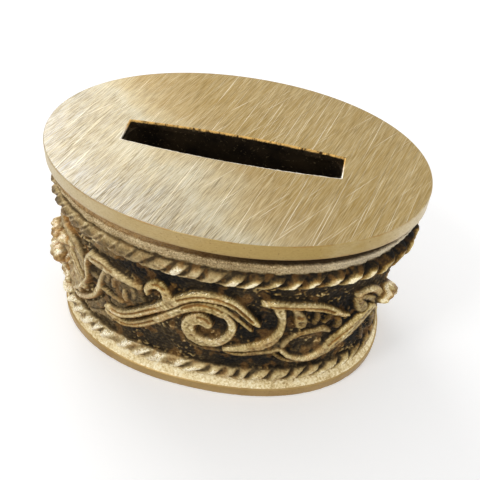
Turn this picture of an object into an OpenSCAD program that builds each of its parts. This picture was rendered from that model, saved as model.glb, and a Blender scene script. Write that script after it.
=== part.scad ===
// Oval brass donation box: slotted plate lid, cast wall with rope borders and scroll relief,
// foot rim, and a hinged emptying door with a cam lock in the floor.
// Origin on the resting plane below the middle of the box, X along the slot, Z up.

/* [Box] */
// Length of the lid plate, along the slot
box_l = 100; // [96:1:112]
// Depth of the lid plate, front to back
box_w = 66.8; // [64:0.2:74]
// Overall height
box_h = 61; // [56:1:80]
// Length of the foot
foot_l = 96.4; // [92:0.2:106]
// Depth of the foot
foot_w = 65.6; // [63:0.2:72]
// Sideways offset of the lid from the middle
lid_shift = 0.5; // [-1:0.1:1]
// Sideways offset of the foot from the middle
foot_shift = -0.9; // [-1:0.1:1]
// Squareness of the lid's oval, 2 is an ellipse
lid_square = 2.04; // [2:0.01:2.2]
// Squareness of the foot's oval
foot_square = 2.2; // [2:0.01:2.3]

/* [Lid and slot] */
// Thickness of the lid plate at its edge
lid_t = 4.6; // [4:0.2:6]
// Length of the slot
slot_l = 56.5; // [50:0.5:58]
// Width of the slot at its ends
slot_w = 7.9; // [6:0.1:9]
// Sideways offset of the slot from the middle
slot_shift = -0.4; // [-1:0.1:1]
// How far each long side of the slot bows outward
slot_bow = 1.4; // [0:0.1:2]
// Depth of the throat's lip below the top face
throat_drop = 2; // [1.5:0.1:2.5]

/* [Wall] */
// Depth of the field below the outer envelope
field_inset = 3.2; // [3:0.1:3.6]
// Thickness of the cast wall in the field
wall_t = 2.6; // [2:0.1:3]
// Height of the dark groove under the lid
groove_h = 3.2; // [2:0.1:4]
// Height of the matte cove band
cove_h = 4.4; // [3:0.1:5]
// Height of each rope border
rope_h = 4.9; // [4:0.1:5.2]
// Strand crests round each rope border
rope_crests = 52; // [40:1:60]
// Height of the relief above the field
relief_h = 2; // [1:0.1:2.2]

/* [Foot and floor] */
// Height of the smooth foot rim
rim_h = 3.4; // [3.2:0.1:5]
// Height of the sloping ledge above the rim
ledge_h = 1.9; // [1.8:0.1:2.2]
// Length of the emptying opening
hatch_l = 42; // [38:1:42]
// Depth of the emptying opening, front to back
hatch_w = 32; // [28:1:32]

/* [Screws] */
// Diameter of the screw shanks
screw_d = 2.5; // [2:0.1:3]

/* [Hidden] */

// Colours
lid_gold = "#c3ad7b";
cast_gold = "#8d7a55";
dark_brass = "#3a3226";
steel = "#9a9a98";

// Levels
floor_z = 2.9;                              // underside of the floor plate
floor_t = 2;                                // thickness of the floor plate
wall_z = floor_z + floor_t;                 // foot of the cast wall
lid_z = box_h - lid_t;                      // underside of the lid
cove_z = lid_z - groove_h;                  // top of the cove band
rope_top_z = cove_z - cove_h - rope_h / 2;  // middle of the upper rope
rope_low_z = rim_h + ledge_h + rope_h / 2;  // middle of the lower rope

// Wall section: insets from the outer envelope
inner_inset = field_inset + wall_t;
rope_depth = 2.6;
upper_swell = [0.3, 1.4];                   // how much deeper the ropes are at the left and right end
lower_swell = [1.5, -0.7];
cove_foot_inset = 1.9;
cove_lip_inset = 1.1;
neck_inset = 2.9;
rim_edge = 0.35;                            // bevel on the rim's upper edge
ledge_inset = 2.3;
film = 0.06;                                // solder film between trim and wall
ring_points = 96;

// Screws that join lid, wall, floor and foot
lug_r = 3.6;
lug_angle = 35;
lug_inset = inner_inset + 2.8;
lid_lug_h = 6.4;
floor_lug_h = 6.2;
thread_depth = 2.8;
floor_thread_depth = 5.4;
head_r = 2.3;
head_h = 1.7;
clearance = 0.1;

// Hinge and door
hinge_x = -25;
hinge_z = 1.85;
knuckle_r = 1.5;
pin_r = 0.8;
running_gap = 0.05;
hinge_half = 9;
knuckle_half = 2.9;
knuckle_gap = 0.2;
leaf_t = 0.8;
fixed_leaf_l = 9;
door_leaf_l = 10.5;
rivet_y = 6;
rivet_r = 0.8;
rivet_head_r = 1.3;
rivet_head_h = 0.6;
fixed_rivet_x = hinge_x - 6;
door_rivet_x = hinge_x + 7;
door_z = 1.2;
door_t = 1.5;
door_lap = 3;
hatch_x0 = -20;                             // hinge side of the emptying opening
door_x0 = hinge_x + 2.2;
door_x1 = hatch_x0 + hatch_l + door_lap;

// Cam lock
lock_x = 13;
flange_r = 6;
flange_z = 0.3;
barrel_r = 4;
barrel_top = 5;
plug_r = 2.75;
plug_head_r = 3.4;
plug_head_h = 0.6;
nut_r = 6.35;
nut_h = 1.8;
cam_z = 5.1;
cam_t = 1;
cam_l = 13.5;
cam_hub_r = 3.4;
cam_tip_r = 2.2;
tenon = 3;
key_slot = [0.9, 3.8, 3];

// ---- Outer envelope of the box ------------------------------------------------------------

function mix(a, b, t) = a + (b - a) * t;
function bent(c, n) = sign(c) * pow(abs(c), 2 / n);

// Point at an angle round the box, at height z, a given distance inside the envelope
function wall_point(angle, z, inset) =
    let (t = z / box_h, n = mix(foot_square, lid_square, t))
    [
        mix(foot_shift, lid_shift, t) + (mix(foot_l, box_l, t) / 2 - inset) * bent(cos(angle), n),
        (mix(foot_w, box_w, t) / 2 - inset) * bent(sin(angle), n),
        z
    ];

function ring(z, inset) = [
    for (i = [0 : ring_points - 1])
        wall_point(i * 360 / ring_points, z, inset)
];
function flat(points) = [for (p = points) [p[0], p[1]]];

// Distance round the box from its left end, past the front, to its right end and back again
arc_steps = 240;
arc_z = box_h / 2;
function arc_angle(i) = 180 + 360 * i / arc_steps;
arc_points = [for (i = [0 : arc_steps]) wall_point(arc_angle(i), arc_z, 2)];
arc_table = [
    for (
        i = 0, s = 0;
        i <= arc_steps;
        i = i + 1, s = s + norm(arc_points[min(i, arc_steps)] - arc_points[i - 1])
    )
        [s, arc_angle(i)]
];
perimeter = arc_table[arc_steps][0];
function angle_at(s) = lookup(s, arc_table);

// Solid through rings of equal length, either joined round or closed by its first and last
module tube_of_rings(rings, closed) {
    n = len(rings[0]);
    m = len(rings);
    points = [for (r = rings) each r];
    sides = [
        for (j = [0 : m - 1 - (closed ? 0 : 1)], i = [0 : n - 1])
            let (k = (i + 1) % n, a = j * n, b = ((j + 1) % m) * n)
            each [[a + i, b + i, b + k], [a + i, b + k, a + k]]
    ];
    last = (m - 1) * n;
    ends = [for (i = [1 : n - 2]) each [[0, i, i + 1], [last, last + i + 1, last + i]]];
    polyhedron(points, closed ? sides : concat(sides, ends));
}

module oval_prism(z0, z1, z_shape, inset) {
    translate([0, 0, z0])
        linear_extrude(z1 - z0)
            polygon(flat(ring(z_shape, inset)));
}

// The same child at the four lugs, whose centres lie on the oval at height z
module at_lugs(z) {
    for (a = [lug_angle, 180 - lug_angle, 180 + lug_angle, 360 - lug_angle]) {
        p = wall_point(a, z, lug_inset);
        translate([p[0], p[1], 0])
            children();
    }
}

module bar(z0, z1, r) {
    translate([0, 0, z0])
        cylinder(h = z1 - z0, r = r, $fn = 48);
}

module block(x0, x1, half_y, z0, z1) {
    translate([x0, -half_y, z0])
        cube([x1 - x0, 2 * half_y, z1 - z0]);
}

// ---- Lid ----------------------------------------------------------------------------------

slot_steps = 12;
function slot_side(sign_y) = [
    for (i = [-slot_steps : slot_steps])
        let (t = i / slot_steps)
        [t * slot_l / 2, sign_y * (slot_w / 2 + slot_bow * (1 - t * t))]
];
function reversed(list) = [for (i = [len(list) - 1 : -1 : 0]) list[i]];

throat_top = box_h - throat_drop;
throat_z = lid_z - 6.4;
throat_t = 1;
throat_r = slot_w / 2 + slot_bow + 0.1;

// Straight bar with round ends, the length over all
module stadium(length, r, z0, z1) {
    for (side = [-1, 1])
        translate([side * (length / 2 - r), 0, 0])
            bar(z0, z1, r);
    block(r - length / 2, length / 2 - r, r, z0, z1);
}

module lid_plate() {
    color(lid_gold)
        difference() {
            oval_prism(lid_z, box_h, box_h, 0);
            translate([slot_shift, 0, 0]) {
                translate([0, 0, throat_top - 1])
                    linear_extrude(throat_drop + 2)
                        polygon(concat(slot_side(-1), reversed(slot_side(1))));
                stadium(slot_l + 2 * throat_t + 2 * film, throat_r + throat_t + film, lid_z - 1, throat_top);
            }
            at_lugs(lid_z)
                bar(lid_z - 1, lid_z + thread_depth, screw_d / 2);
        }
}

module slot_throat() {
    color(dark_brass)
        translate([slot_shift, 0, 0])
            difference() {
                stadium(slot_l + 2 * throat_t, throat_r + throat_t, throat_z, throat_top);
                stadium(slot_l, throat_r, throat_z - 1, throat_top + 1);
            }
}

module lid_screws() {
    color(steel)
        at_lugs(lid_z) {
            bar(lid_z - lid_lug_h - head_h, lid_z - lid_lug_h, head_r);
            bar(lid_z - lid_lug_h, lid_z + thread_depth - 0.2, screw_d / 2);
        }
}

// ---- Cast wall ----------------------------------------------------------------------------

wall_section = [
    [wall_z, field_inset],
    [rope_top_z + rope_h / 2 - 0.3, field_inset],
    [cove_z - cove_h, cove_foot_inset],
    [cove_z - cove_h / 2, cove_foot_inset - 0.1],
    [cove_z - 0.6, cove_lip_inset],
    [cove_z, cove_lip_inset],
    [cove_z, neck_inset],
    [lid_z, neck_inset]
];

module body_shell() {
    outer = [for (p = wall_section) ring(p[0], p[1])];
    inner = [ring(lid_z, inner_inset), ring(wall_z, inner_inset)];
    color(cast_gold)
        difference() {
            union() {
                tube_of_rings(concat(outer, inner), true);
                at_lugs(lid_z)
                    bar(lid_z - lid_lug_h, lid_z, lug_r);
                at_lugs(wall_z)
                    bar(wall_z, wall_z + floor_lug_h, lug_r);
            }
            at_lugs(lid_z)
                bar(lid_z - lid_lug_h - 1, lid_z + 1, screw_d / 2 + clearance);
            at_lugs(wall_z)
                bar(wall_z - 1, wall_z + floor_thread_depth, screw_d / 2);
        }
}

// ---- Rope borders -------------------------------------------------------------------------

rope_sides = 8;
steps_per_crest = 5;
twist_depth = 0.17;

// Depth of a rope at an angle round the box, greater or smaller at the ends by the swell
function rope_depth_at(angle, swell) =
    rope_depth + (cos(angle) > 0 ? swell[1] : swell[0]) * pow(abs(cos(angle)), 3);

// Ring round the rope's own section at step i, its bulge moving round as the rope twists
function rope_ring(i, z, swell) =
    let (
        angle = angle_at(perimeter * i / (rope_crests * steps_per_crest)),
        depth = rope_depth_at(angle, swell),
        middle_inset = field_inset - film - depth / 2
    )
    [
        for (k = [0 : rope_sides - 1])
            let (
                phase = k * 360 / rope_sides,
                bulge = (1 + twist_depth * cos(phase - 360 * i / steps_per_crest)) / (1 + twist_depth)
            )
            wall_point(
                angle,
                z + rope_h / 2 * bulge * sin(phase),
                middle_inset - depth / 2 * bulge * cos(phase)
            )
    ];

module rope(z, swell) {
    color(cast_gold)
        tube_of_rings([for (i = [0 : rope_crests * steps_per_crest - 1]) rope_ring(i, z, swell)], true);
}

module upper_rope() {
    rope(rope_top_z, upper_swell);
}

module lower_rope() {
    rope(rope_low_z, lower_swell);
}

// ---- Relief: strokes drawn on the unrolled wall -------------------------------------------
// A stroke is a list of [distance round the wall, height, width] points.

stroke_step = 2.3;                          // longest facet along a stroke
stroke_top = 0.62;                          // width of its flat top, as a share of its foot
end_steps = [[0.92, 0.4, 0.5], [0.6, 0.8, 0.85]];   // reach, width and height shares of a round end

// Point between points i and i + 1 of the smooth curve through all points
function curve_point(p, i, t) =
    let (a = p[max(i - 1, 0)], b = p[i], c = p[i + 1], d = p[min(i + 2, len(p) - 1)])
    (2 * b + (c - a) * t + (2 * a - 5 * b + 4 * c - d) * t * t + (3 * b - a - 3 * c + d) * t * t * t) / 2;

function curve(p) = [
    for (i = [0 : len(p) - 2])
        let (parts = ceil(norm(p[i + 1] - p[i]) / stroke_step))
        for (k = [0 : parts - 1])
            curve_point(p, i, k / parts),
    p[len(p) - 1]
];

function way(p, i) =
    let (d = p[min(i + 1, len(p) - 1)] - p[max(i - 1, 0)])
    [d[0], d[1]] / norm([d[0], d[1]]);

// Section of a stroke of width w whose middle is out past point q along the way
function stroke_ring(q, way, out, w, height, start) = [
    for (k = [[1, 0], [stroke_top, 1], [-stroke_top, 1], [-1, 0]])
        wall_point(
            angle_at(start + q[0] + way[0] * out - way[1] * w / 2 * k[0]),
            q[1] + way[1] * out + way[0] * w / 2 * k[0],
            field_inset - film - height * k[1]
        )
];

function end_ring(q, way, side, k, height, start) =
    stroke_ring(q, way, side * k[0] * q[2] / 2, k[1] * q[2], k[2] * height, start);

module stroke(points, height = relief_h, start = 0) {
    p = curve(points);
    n = len(p) - 1;
    tube_of_rings(
        concat(
            [for (k = end_steps) end_ring(p[0], way(p, 0), -1, k, height, start)],
            [for (i = [0 : n]) stroke_ring(p[i], way(p, i), 0, p[i][2], height, start)],
            [for (k = reversed(end_steps)) end_ring(p[n], way(p, n), 1, k, height, start)]
        ),
        false
    );
}

vine_upper = [
    [33.6, 20.4, 1.8], [36.4, 19.7, 2.2], [39.4, 21, 2.2], [42.6, 23.2, 2.2], [46, 26, 2.3],
    [49.4, 29.4, 2.4], [52.4, 32.4, 2.4], [55.4, 34.7, 1.6], [58.6, 36.8, 1.3], [62, 38.1, 1.3],
    [66, 38.4, 1.3], [69.6, 37.3, 1.2], [72.4, 35, 1.2], [74.8, 32.2, 1.2], [77, 30.3, 1.3]
];
vine_ridge = [
    [56.6, 34.7, 1], [59.6, 36, 1.2], [62.6, 36.8, 1.2], [65.8, 36.8, 1.2], [68.8, 35.7, 1.2],
    [71.6, 33.2, 1.2], [73.8, 30.8, 1.2], [76, 29, 1.3]
];
vine_lower = [
    [33.4, 17.8, 1.6], [35.4, 16.6, 1.8], [38, 16.3, 1.9], [41.2, 17.5, 1.8], [44.6, 19.7, 1.8],
    [48, 22.6, 1.8], [51.4, 25.9, 1.8], [54.6, 29.2, 1.8], [57.8, 31.6, 2], [61, 33, 1.9],
    [64, 33.6, 1.7], [67, 33, 1.7]
];
vine_seam = [
    [58.4, 33.1, 1], [61.6, 34.6, 1.1], [65, 35, 1.1], [68, 33.9, 1.2], [70.2, 31.9, 1.2], [72.4, 29.5, 1.2],
    [74.8, 27.2, 1.2]
];
vine_hook = [
    [51.6, 31, 2.6], [52.4, 33.8, 2.3], [51.8, 36.4, 2.2], [50, 38, 2.1], [48.2, 37.4, 2], [47.2, 35.7, 1.7],
    [47.2, 34.2, 1.4], [48, 33.3, 1.1]
];
spiral = [
    [66.4, 32.8, 1.8], [68.5, 30.4, 2], [69.3, 27.4, 2], [68.8, 24.2, 2.2], [67.2, 21.6, 2.5],
    [64.6, 19.9, 2.7], [61.6, 19.9, 2.9], [59.2, 21.8, 3], [58.3, 24.6, 3.1], [58.8, 27.4, 3.2],
    [60.6, 29.1, 3.4], [62.6, 28.4, 3.4]
];

module scroll(start) {
    stroke(vine_upper, relief_h, start);
    stroke(vine_ridge, relief_h - 0.15, start);
    stroke(vine_lower, relief_h - 0.05, start);
    stroke(vine_seam, relief_h - 0.2, start);
    stroke(vine_hook, relief_h + 0.05, start);
    stroke(spiral, relief_h - 0.1, start);
}

leaf_ledge = [
    [30.4, 36.2, 2.3], [32, 36.2, 2.5], [35, 35.4, 2.2], [38, 34.8, 1.7], [42, 34.3, 1.3], [45, 33.9, 1]
];
leaf_column = [
    [29.4, 33.4, 1], [31.6, 33.3, 1.2], [33.4, 32.4, 1.7],
    [32.7, 29.6, 1.7], [31.8, 27.2, 1.5], [31.2, 25.8, 1.3]
];
leaf_shelf = [[33.2, 26.2, 1], [35, 25.2, 1.1], [37.4, 24.9, 1], [39.6, 24.8, 0.9]];
leaf_balls = [
    [[37.3, 32.5, 2.8], [37, 30.9, 2.6]],
    [[41.3, 29.6, 3.4], [41.6, 28.2, 3.4]],
    [[44.8, 30.8, 1.6], [45.2, 29.6, 1.4]]
];

module left_leaf(start) {
    stroke(leaf_ledge, relief_h - 0.2, start);
    stroke(leaf_column, relief_h - 0.35, start);
    stroke(leaf_shelf, relief_h - 0.5, start);
    for (ball = leaf_balls)
        stroke(ball, relief_h - 0.4, start);
}

stem = [
    [67, 17.6, 1.3], [70, 18.3, 1.5], [73, 18.9, 1.6], [76, 20, 1.8], [79, 21.9, 2.1], [81.3, 24.4, 2.1],
    [82.7, 27.2, 1.9], [83.2, 30, 1.5], [82.9, 32.6, 1.6], [81.7, 35, 2], [79.8, 37, 2.3], [78.4, 37.9, 1.7]
];
stem_foot = [
    [69.6, 16.9, 1.1], [72, 16.8, 1.2], [75, 17.3, 1.3], [78, 18.2, 1.4], [80.8, 19.2, 1.4], [82.2, 20.6, 1.1]
];
leaf_top = [
    [78.8, 38.3, 1.6], [82, 38, 1.6], [86, 37.3, 1.3], [90, 36.5, 1.3], [94, 35, 1.4], [97, 33, 1.4],
    [99.4, 31, 1.3], [101.6, 29.9, 1]
];
leaf_fold = [
    [82.6, 36.5, 1.1], [85, 35.9, 1.1], [88.6, 35, 1.1], [92, 34.1, 1.1], [95, 32.8, 1.1], [97.6, 31.2, 1]
];
drop = [[86.6, 34.9, 2.4], [87.1, 33.4, 1.9], [87.7, 31.2, 3.2], [87.9, 29.9, 3]];
ribs = [
    [[92, 33.4, 1], [92.3, 31.6, 1.3], [91.8, 29.4, 1]],
    [[95.6, 31.8, 0.9], [95.4, 30.2, 1.1], [94.2, 28.6, 0.9]],
    [[98.6, 29, 1], [99.2, 27.2, 1.5], [98.7, 25.9, 1.2]]
];
oval_edge = [
    [95.4, 25, 0.9], [93, 25.9, 1], [90.4, 26.2, 1], [87.6, 25.6, 1.1], [85.3, 24, 1.2], [84, 21.8, 1.2],
    [83.9, 19.4, 1.3], [85.2, 17.3, 1.4], [87.6, 15.8, 1.5], [90.6, 15.3, 1.6], [93.4, 15.8, 2.1],
    [96.4, 17.6, 3], [99.4, 20, 3.8], [102.6, 22.4, 4.2], [106, 24.6, 4.2], [109, 26.2, 3.8]
];
oval_rim = [
    [83.4, 16.9, 0.8], [85, 15, 0.9], [87.6, 13.7, 0.9], [91, 13.1, 0.9], [95, 13.3, 0.9], [98.2, 14.4, 0.9],
    [101.4, 16.4, 0.9], [104.6, 19, 1], [107.6, 21.6, 1], [110, 23.2, 1]
];

module right_leaf(start) {
    stroke(stem, relief_h, start);
    stroke(stem_foot, relief_h - 0.35, start);
    stroke(leaf_top, relief_h - 0.05, start);
    stroke(leaf_fold, relief_h - 0.2, start);
    stroke(drop, relief_h - 0.3, start);
    for (rib = ribs)
        stroke(rib, relief_h - 0.5, start);
    stroke(oval_edge, relief_h - 0.1, start);
    stroke(oval_rim, relief_h - 0.5, start);
}

left_bracket = [
    [30.4, 40, 1], [29, 37.8, 1.2], [27.5, 35.2, 1.3], [26.7, 32, 1.3], [26.6, 29, 1.3], [26.6, 26.4, 1.3],
    [25.8, 23.6, 1.4], [23.6, 20.9, 1.5], [20.4, 18, 1.5], [17, 15.8, 1.4]
];
left_sweep = [[30.1, 23.8, 1.5], [28.4, 21, 1.7], [25.8, 17.8, 1.7], [22.8, 14.9, 1.7], [19.6, 12.8, 1.5]];
left_folds = [
    [[24.8, 30, 1.6], [22.6, 33, 1.8], [19.6, 35.6, 1.8]],
    [[24.2, 24.8, 1.8], [21.4, 28.2, 2.2], [18.6, 31, 2]]
];
// Lobes that stand out in profile at the end, each with its height
left_lobes = [
    [[[18.4, 33.6, 3.6], [11.6, 31, 4.4]], 4.4],
    [[[17, 25, 4.6], [8.6, 22.8, 5.4]], 5.4],
    [[[14.6, 12.9, 3], [8, 13.6, 3.4]], 3.8]
];

module left_end(start) {
    stroke(left_bracket, relief_h - 0.2, start);
    stroke(left_sweep, relief_h - 0.3, start);
    for (fold = left_folds)
        stroke(fold, relief_h, start);
    for (lobe = left_lobes)
        stroke(lobe[0], lobe[1], start);
}

right_flame = [
    [102.6, 36.6, 1.1], [105, 36.8, 1.5], [107.4, 36, 1.8], [109.6, 34, 1.9], [111.6, 31.2, 1.9],
    [113.4, 28.2, 1.9], [115.2, 25, 1.9], [116.6, 21.4, 1.6], [117.2, 18, 1.2]
];
right_lobe = [[103.4, 35, 1.4], [103.9, 32.8, 2.6], [105.2, 30.6, 2.6], [107.4, 29.6, 1.4]];
right_tail = [[113.4, 22.6, 1.6], [114.6, 19.8, 1.5], [114.8, 16.8, 1.2], [114, 14.2, 1]];
right_spur = [[110.8, 19.8, 1.3], [109.4, 17, 1.2], [109.8, 14.2, 1]];
// Tip of the band, which curls out at the end
right_tip = [[112.8, 29.6, 3], [115.4, 30.6, 4], [118.6, 28.2, 4.2]];
right_tip_h = 4.2;

module right_end(start) {
    stroke(right_flame, relief_h - 0.1, start);
    stroke(right_lobe, relief_h - 0.25, start);
    stroke(right_tail, relief_h - 0.4, start);
    stroke(right_spur, relief_h - 0.4, start);
    stroke(right_tip, right_tip_h, start);
}

half_way = perimeter / 2;

module front_scroll() {
    color(cast_gold)
        scroll(0);
}

module front_left_leaf() {
    color(cast_gold)
        left_leaf(0);
}

module front_right_leaf() {
    color(cast_gold)
        right_leaf(0);
}

module front_left_end() {
    color(cast_gold)
        left_end(0);
}

module front_right_end() {
    color(cast_gold)
        right_end(0);
}

module back_scroll() {
    color(cast_gold)
        scroll(half_way);
}

module back_left_leaf() {
    color(cast_gold)
        left_leaf(half_way);
}

module back_right_leaf() {
    color(cast_gold)
        right_leaf(half_way);
}

module back_left_end() {
    color(cast_gold)
        left_end(half_way);
}

module back_right_end() {
    color(cast_gold)
        right_end(half_way);
}

// ---- Foot and floor -----------------------------------------------------------------------

ear_z = floor_z - 2;
rim_top = rim_h + ledge_h;
rim_section = [
    [0, 0],
    [rim_h - rim_edge, 0],
    [rim_h, rim_edge],
    [rim_top, ledge_inset],
    [rim_top, field_inset - film],
    [floor_z, field_inset - film],
    [floor_z, inner_inset],
    [0, inner_inset]
];

module foot_rim() {
    color(lid_gold)
        difference() {
            union() {
                tube_of_rings([for (p = rim_section) ring(p[0], p[1])], true);
                at_lugs(wall_z)
                    bar(ear_z, floor_z, lug_r);
            }
            at_lugs(wall_z) {
                bar(ear_z - 1, floor_z + 1, screw_d / 2 + clearance);
                bar(ear_z - 1, ear_z + 1, head_r + clearance);
            }
        }
}

module floor_plate() {
    color(cast_gold)
        difference() {
            oval_prism(floor_z, wall_z, floor_z, field_inset + film);
            block(hatch_x0, hatch_x0 + hatch_l, hatch_w / 2, floor_z - 1, wall_z + 1);
            block(hinge_x - 1.8, hinge_x + 1.8, hinge_half + 0.6, floor_z - 1, floor_z + 0.7);
            at_lugs(wall_z)
                bar(floor_z - 1, wall_z + 1, screw_d / 2 + clearance);
            for (side = [-1, 1])
                translate([fixed_rivet_x, side * rivet_y, 0])
                    bar(floor_z - 1, wall_z + 1, rivet_r);
        }
}

module floor_screws() {
    color(steel)
        at_lugs(wall_z) {
            bar(ear_z, ear_z + 1, head_r);
            bar(ear_z + 1, wall_z + floor_thread_depth - 0.2, screw_d / 2);
        }
}

// ---- Hinge --------------------------------------------------------------------------------

module hinge_bar(y0, y1, r) {
    translate([hinge_x, y1, hinge_z])
        rotate([90, 0, 0])
            cylinder(h = y1 - y0, r = r, $fn = 48);
}

module hinge_fixed_leaf() {
    color(dark_brass)
        difference() {
            union() {
                block(hinge_x - fixed_leaf_l, hinge_x - 2, hinge_half, floor_z - leaf_t, floor_z);
                for (side = [0, 1])
                    mirror([0, side, 0]) {
                        hinge_bar(knuckle_half + knuckle_gap, hinge_half, knuckle_r);
                        translate([hinge_x - 2.5, knuckle_half + knuckle_gap, floor_z - leaf_t])
                            cube([2.5, hinge_half - knuckle_half - knuckle_gap, leaf_t]);
                    }
            }
            hinge_bar(-hinge_half - 1, hinge_half + 1, pin_r);
            for (side = [-1, 1])
                translate([fixed_rivet_x, side * rivet_y, 0])
                    bar(0, floor_z + 1, rivet_r);
        }
}

module fixed_rivets() {
    color(steel)
        for (side = [-1, 1])
            translate([fixed_rivet_x, side * rivet_y, 0]) {
                bar(floor_z - leaf_t, wall_z, rivet_r);
                bar(wall_z, wall_z + rivet_head_h, rivet_head_r);
            }
}

module hinge_pin() {
    color(steel)
        hinge_bar(-hinge_half - 0.4, hinge_half + 0.4, pin_r);
}

module hinge_door_leaf() {
    color(dark_brass)
        difference() {
            union() {
                hinge_bar(-knuckle_half, knuckle_half, knuckle_r);
                block(hinge_x + 0.5, door_x0 + 0.5, knuckle_half, door_z - leaf_t, door_z);
                block(door_x0, hinge_x + door_leaf_l, hinge_half, door_z - leaf_t, door_z);
            }
            hinge_bar(-knuckle_half - 1, knuckle_half + 1, pin_r + running_gap);
            for (side = [-1, 1])
                translate([door_rivet_x, side * rivet_y, 0])
                    bar(0, door_z + 1, rivet_r);
        }
}

module door_rivets() {
    color(steel)
        for (side = [-1, 1])
            translate([door_rivet_x, side * rivet_y, 0]) {
                bar(door_z - leaf_t, door_z + door_t, rivet_r);
                bar(door_z + door_t, door_z + door_t + rivet_head_h, rivet_head_r);
            }
}

// ---- Door and cam lock --------------------------------------------------------------------

module at_lock() {
    translate([lock_x, 0, 0])
        children();
}

module door_plate() {
    color(dark_brass)
        difference() {
            block(door_x0, door_x1, hatch_w / 2 + door_lap, door_z, door_z + door_t);
            at_lock()
                bar(0, door_z + door_t + 1, barrel_r + running_gap);
            for (side = [-1, 1])
                translate([door_rivet_x, side * rivet_y, 0])
                    bar(0, door_z + door_t + 1, rivet_r);
        }
}

module lock_barrel() {
    color(lid_gold)
        at_lock()
            difference() {
                union() {
                    bar(flange_z, door_z, flange_r);
                    bar(door_z, barrel_top, barrel_r);
                }
                bar(0, barrel_top + 1, plug_r + running_gap);
                bar(0, flange_z + plug_head_h + 0.2, plug_head_r + running_gap);
            }
}

module lock_nut() {
    color(steel)
        at_lock()
            translate([0, 0, door_z + door_t])
                difference() {
                    cylinder(h = nut_h, r = nut_r, $fn = 6);
                    bar(-1, nut_h + 1, barrel_r + running_gap);
                }
}

module lock_plug() {
    color(lid_gold)
        at_lock()
            difference() {
                union() {
                    bar(flange_z + 0.1, flange_z + 0.1 + plug_head_h, plug_head_r);
                    bar(flange_z + 0.1, cam_z, plug_r);
                    translate([-tenon / 2, -tenon / 2, cam_z])
                        cube([tenon, tenon, cam_t]);
                }
                translate([-key_slot[0] / 2, -key_slot[1] / 2, 0])
                    cube([key_slot[0], key_slot[1], key_slot[2]]);
                bar(cam_z - 1.5, cam_z + cam_t + 1, 0.75);
            }
}

module lock_cam() {
    color(steel)
        at_lock()
            difference() {
                union() {
                    bar(cam_z, cam_z + cam_t, cam_hub_r);
                    translate([-cam_tip_r, 0, cam_z])
                        cube([2 * cam_tip_r, cam_l - cam_tip_r, cam_t]);
                    translate([0, cam_l - cam_tip_r, 0])
                        bar(cam_z, cam_z + cam_t, cam_tip_r);
                }
                translate([-tenon / 2, -tenon / 2, cam_z - 1])
                    cube([tenon, tenon, cam_t + 2]);
            }
}

module cam_screw() {
    color(steel)
        at_lock() {
            bar(cam_z + cam_t, cam_z + cam_t + 1, 2.2);
            bar(cam_z - 1.4, cam_z + cam_t, 0.75);
        }
}

lid_plate();
slot_throat();
lid_screws();
body_shell();
upper_rope();
lower_rope();
foot_rim();
front_scroll();
front_left_leaf();
front_right_leaf();
front_left_end();
front_right_end();
back_scroll();
back_left_leaf();
back_right_leaf();
back_left_end();
back_right_end();
floor_plate();
floor_screws();
hinge_fixed_leaf();
fixed_rivets();
hinge_pin();
door_plate();
hinge_door_leaf();
door_rivets();
lock_barrel();
lock_nut();
lock_plug();
lock_cam();
cam_screw();
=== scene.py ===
"""Looks of the oval brass donation box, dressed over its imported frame."""

import math

import bmesh
import bpy
import numpy as np
from mathutils import Matrix, Vector

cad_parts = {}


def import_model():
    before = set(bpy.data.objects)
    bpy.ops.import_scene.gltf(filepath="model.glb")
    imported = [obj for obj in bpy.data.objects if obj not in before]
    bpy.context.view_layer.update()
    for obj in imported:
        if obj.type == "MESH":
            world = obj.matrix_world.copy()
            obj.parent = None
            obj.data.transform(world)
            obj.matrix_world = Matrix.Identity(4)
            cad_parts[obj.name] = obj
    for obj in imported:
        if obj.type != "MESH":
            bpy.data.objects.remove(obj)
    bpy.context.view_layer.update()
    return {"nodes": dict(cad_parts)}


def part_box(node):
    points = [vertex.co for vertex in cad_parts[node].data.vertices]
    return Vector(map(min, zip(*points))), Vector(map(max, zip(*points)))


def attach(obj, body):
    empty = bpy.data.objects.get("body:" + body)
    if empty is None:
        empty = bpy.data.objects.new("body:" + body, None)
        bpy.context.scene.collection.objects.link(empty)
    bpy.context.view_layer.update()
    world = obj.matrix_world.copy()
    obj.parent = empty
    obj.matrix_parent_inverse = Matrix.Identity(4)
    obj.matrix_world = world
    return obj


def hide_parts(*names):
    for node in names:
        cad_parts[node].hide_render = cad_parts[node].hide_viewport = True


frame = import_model()

MM = 0.001
RELIEF_NODES = [side + "_" + part for side in ("front", "back")
                for part in ("scroll", "left_leaf", "right_leaf", "left_end", "right_end")]


# ---- Sizes, in millimetres ----

def span(node, axis):
    """Lowest and highest coordinate of a node along an axis."""
    return [corner[axis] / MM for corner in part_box(node)]


def length_of(node, axis):
    low, high = span(node, axis)
    return high - low


def middle_of(node, axis):
    return sum(span(node, axis)) / 2


BOX_L, BOX_W = length_of("lid_plate", 0), length_of("lid_plate", 1)
LID_Z, BOX_H = span("lid_plate", 2)
LID_SHIFT = middle_of("lid_plate", 0)
LID_SQUARE, FOOT_SQUARE = 2.04, 2.2  # powers of the two ovals: 2 is an ellipse, more is squarer
RIM_H, RIM_EDGE = 3.4, 0.35
RIM_TOP = span("foot_rim", 2)[1]
RIM_SHARE = (RIM_H - RIM_EDGE) / BOX_H  # how far up the envelope the rim is widest
RIM_STEP = 0.42  # radius of the rim's upper edge, from which the ledge rises
SEAT_GAP = 0.06  # between the rim and the wall that stands in it
WALL_Z = span("body_shell", 2)[0]
ROPE_H = length_of("upper_rope", 2)
ROPE_TOP_Z = middle_of("upper_rope", 2)
ROPE_LOW_Z = middle_of("lower_rope", 2)
THROAT_TOP = span("slot_throat", 2)[1]
SLOT_SHIFT = middle_of("slot_throat", 0)
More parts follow.
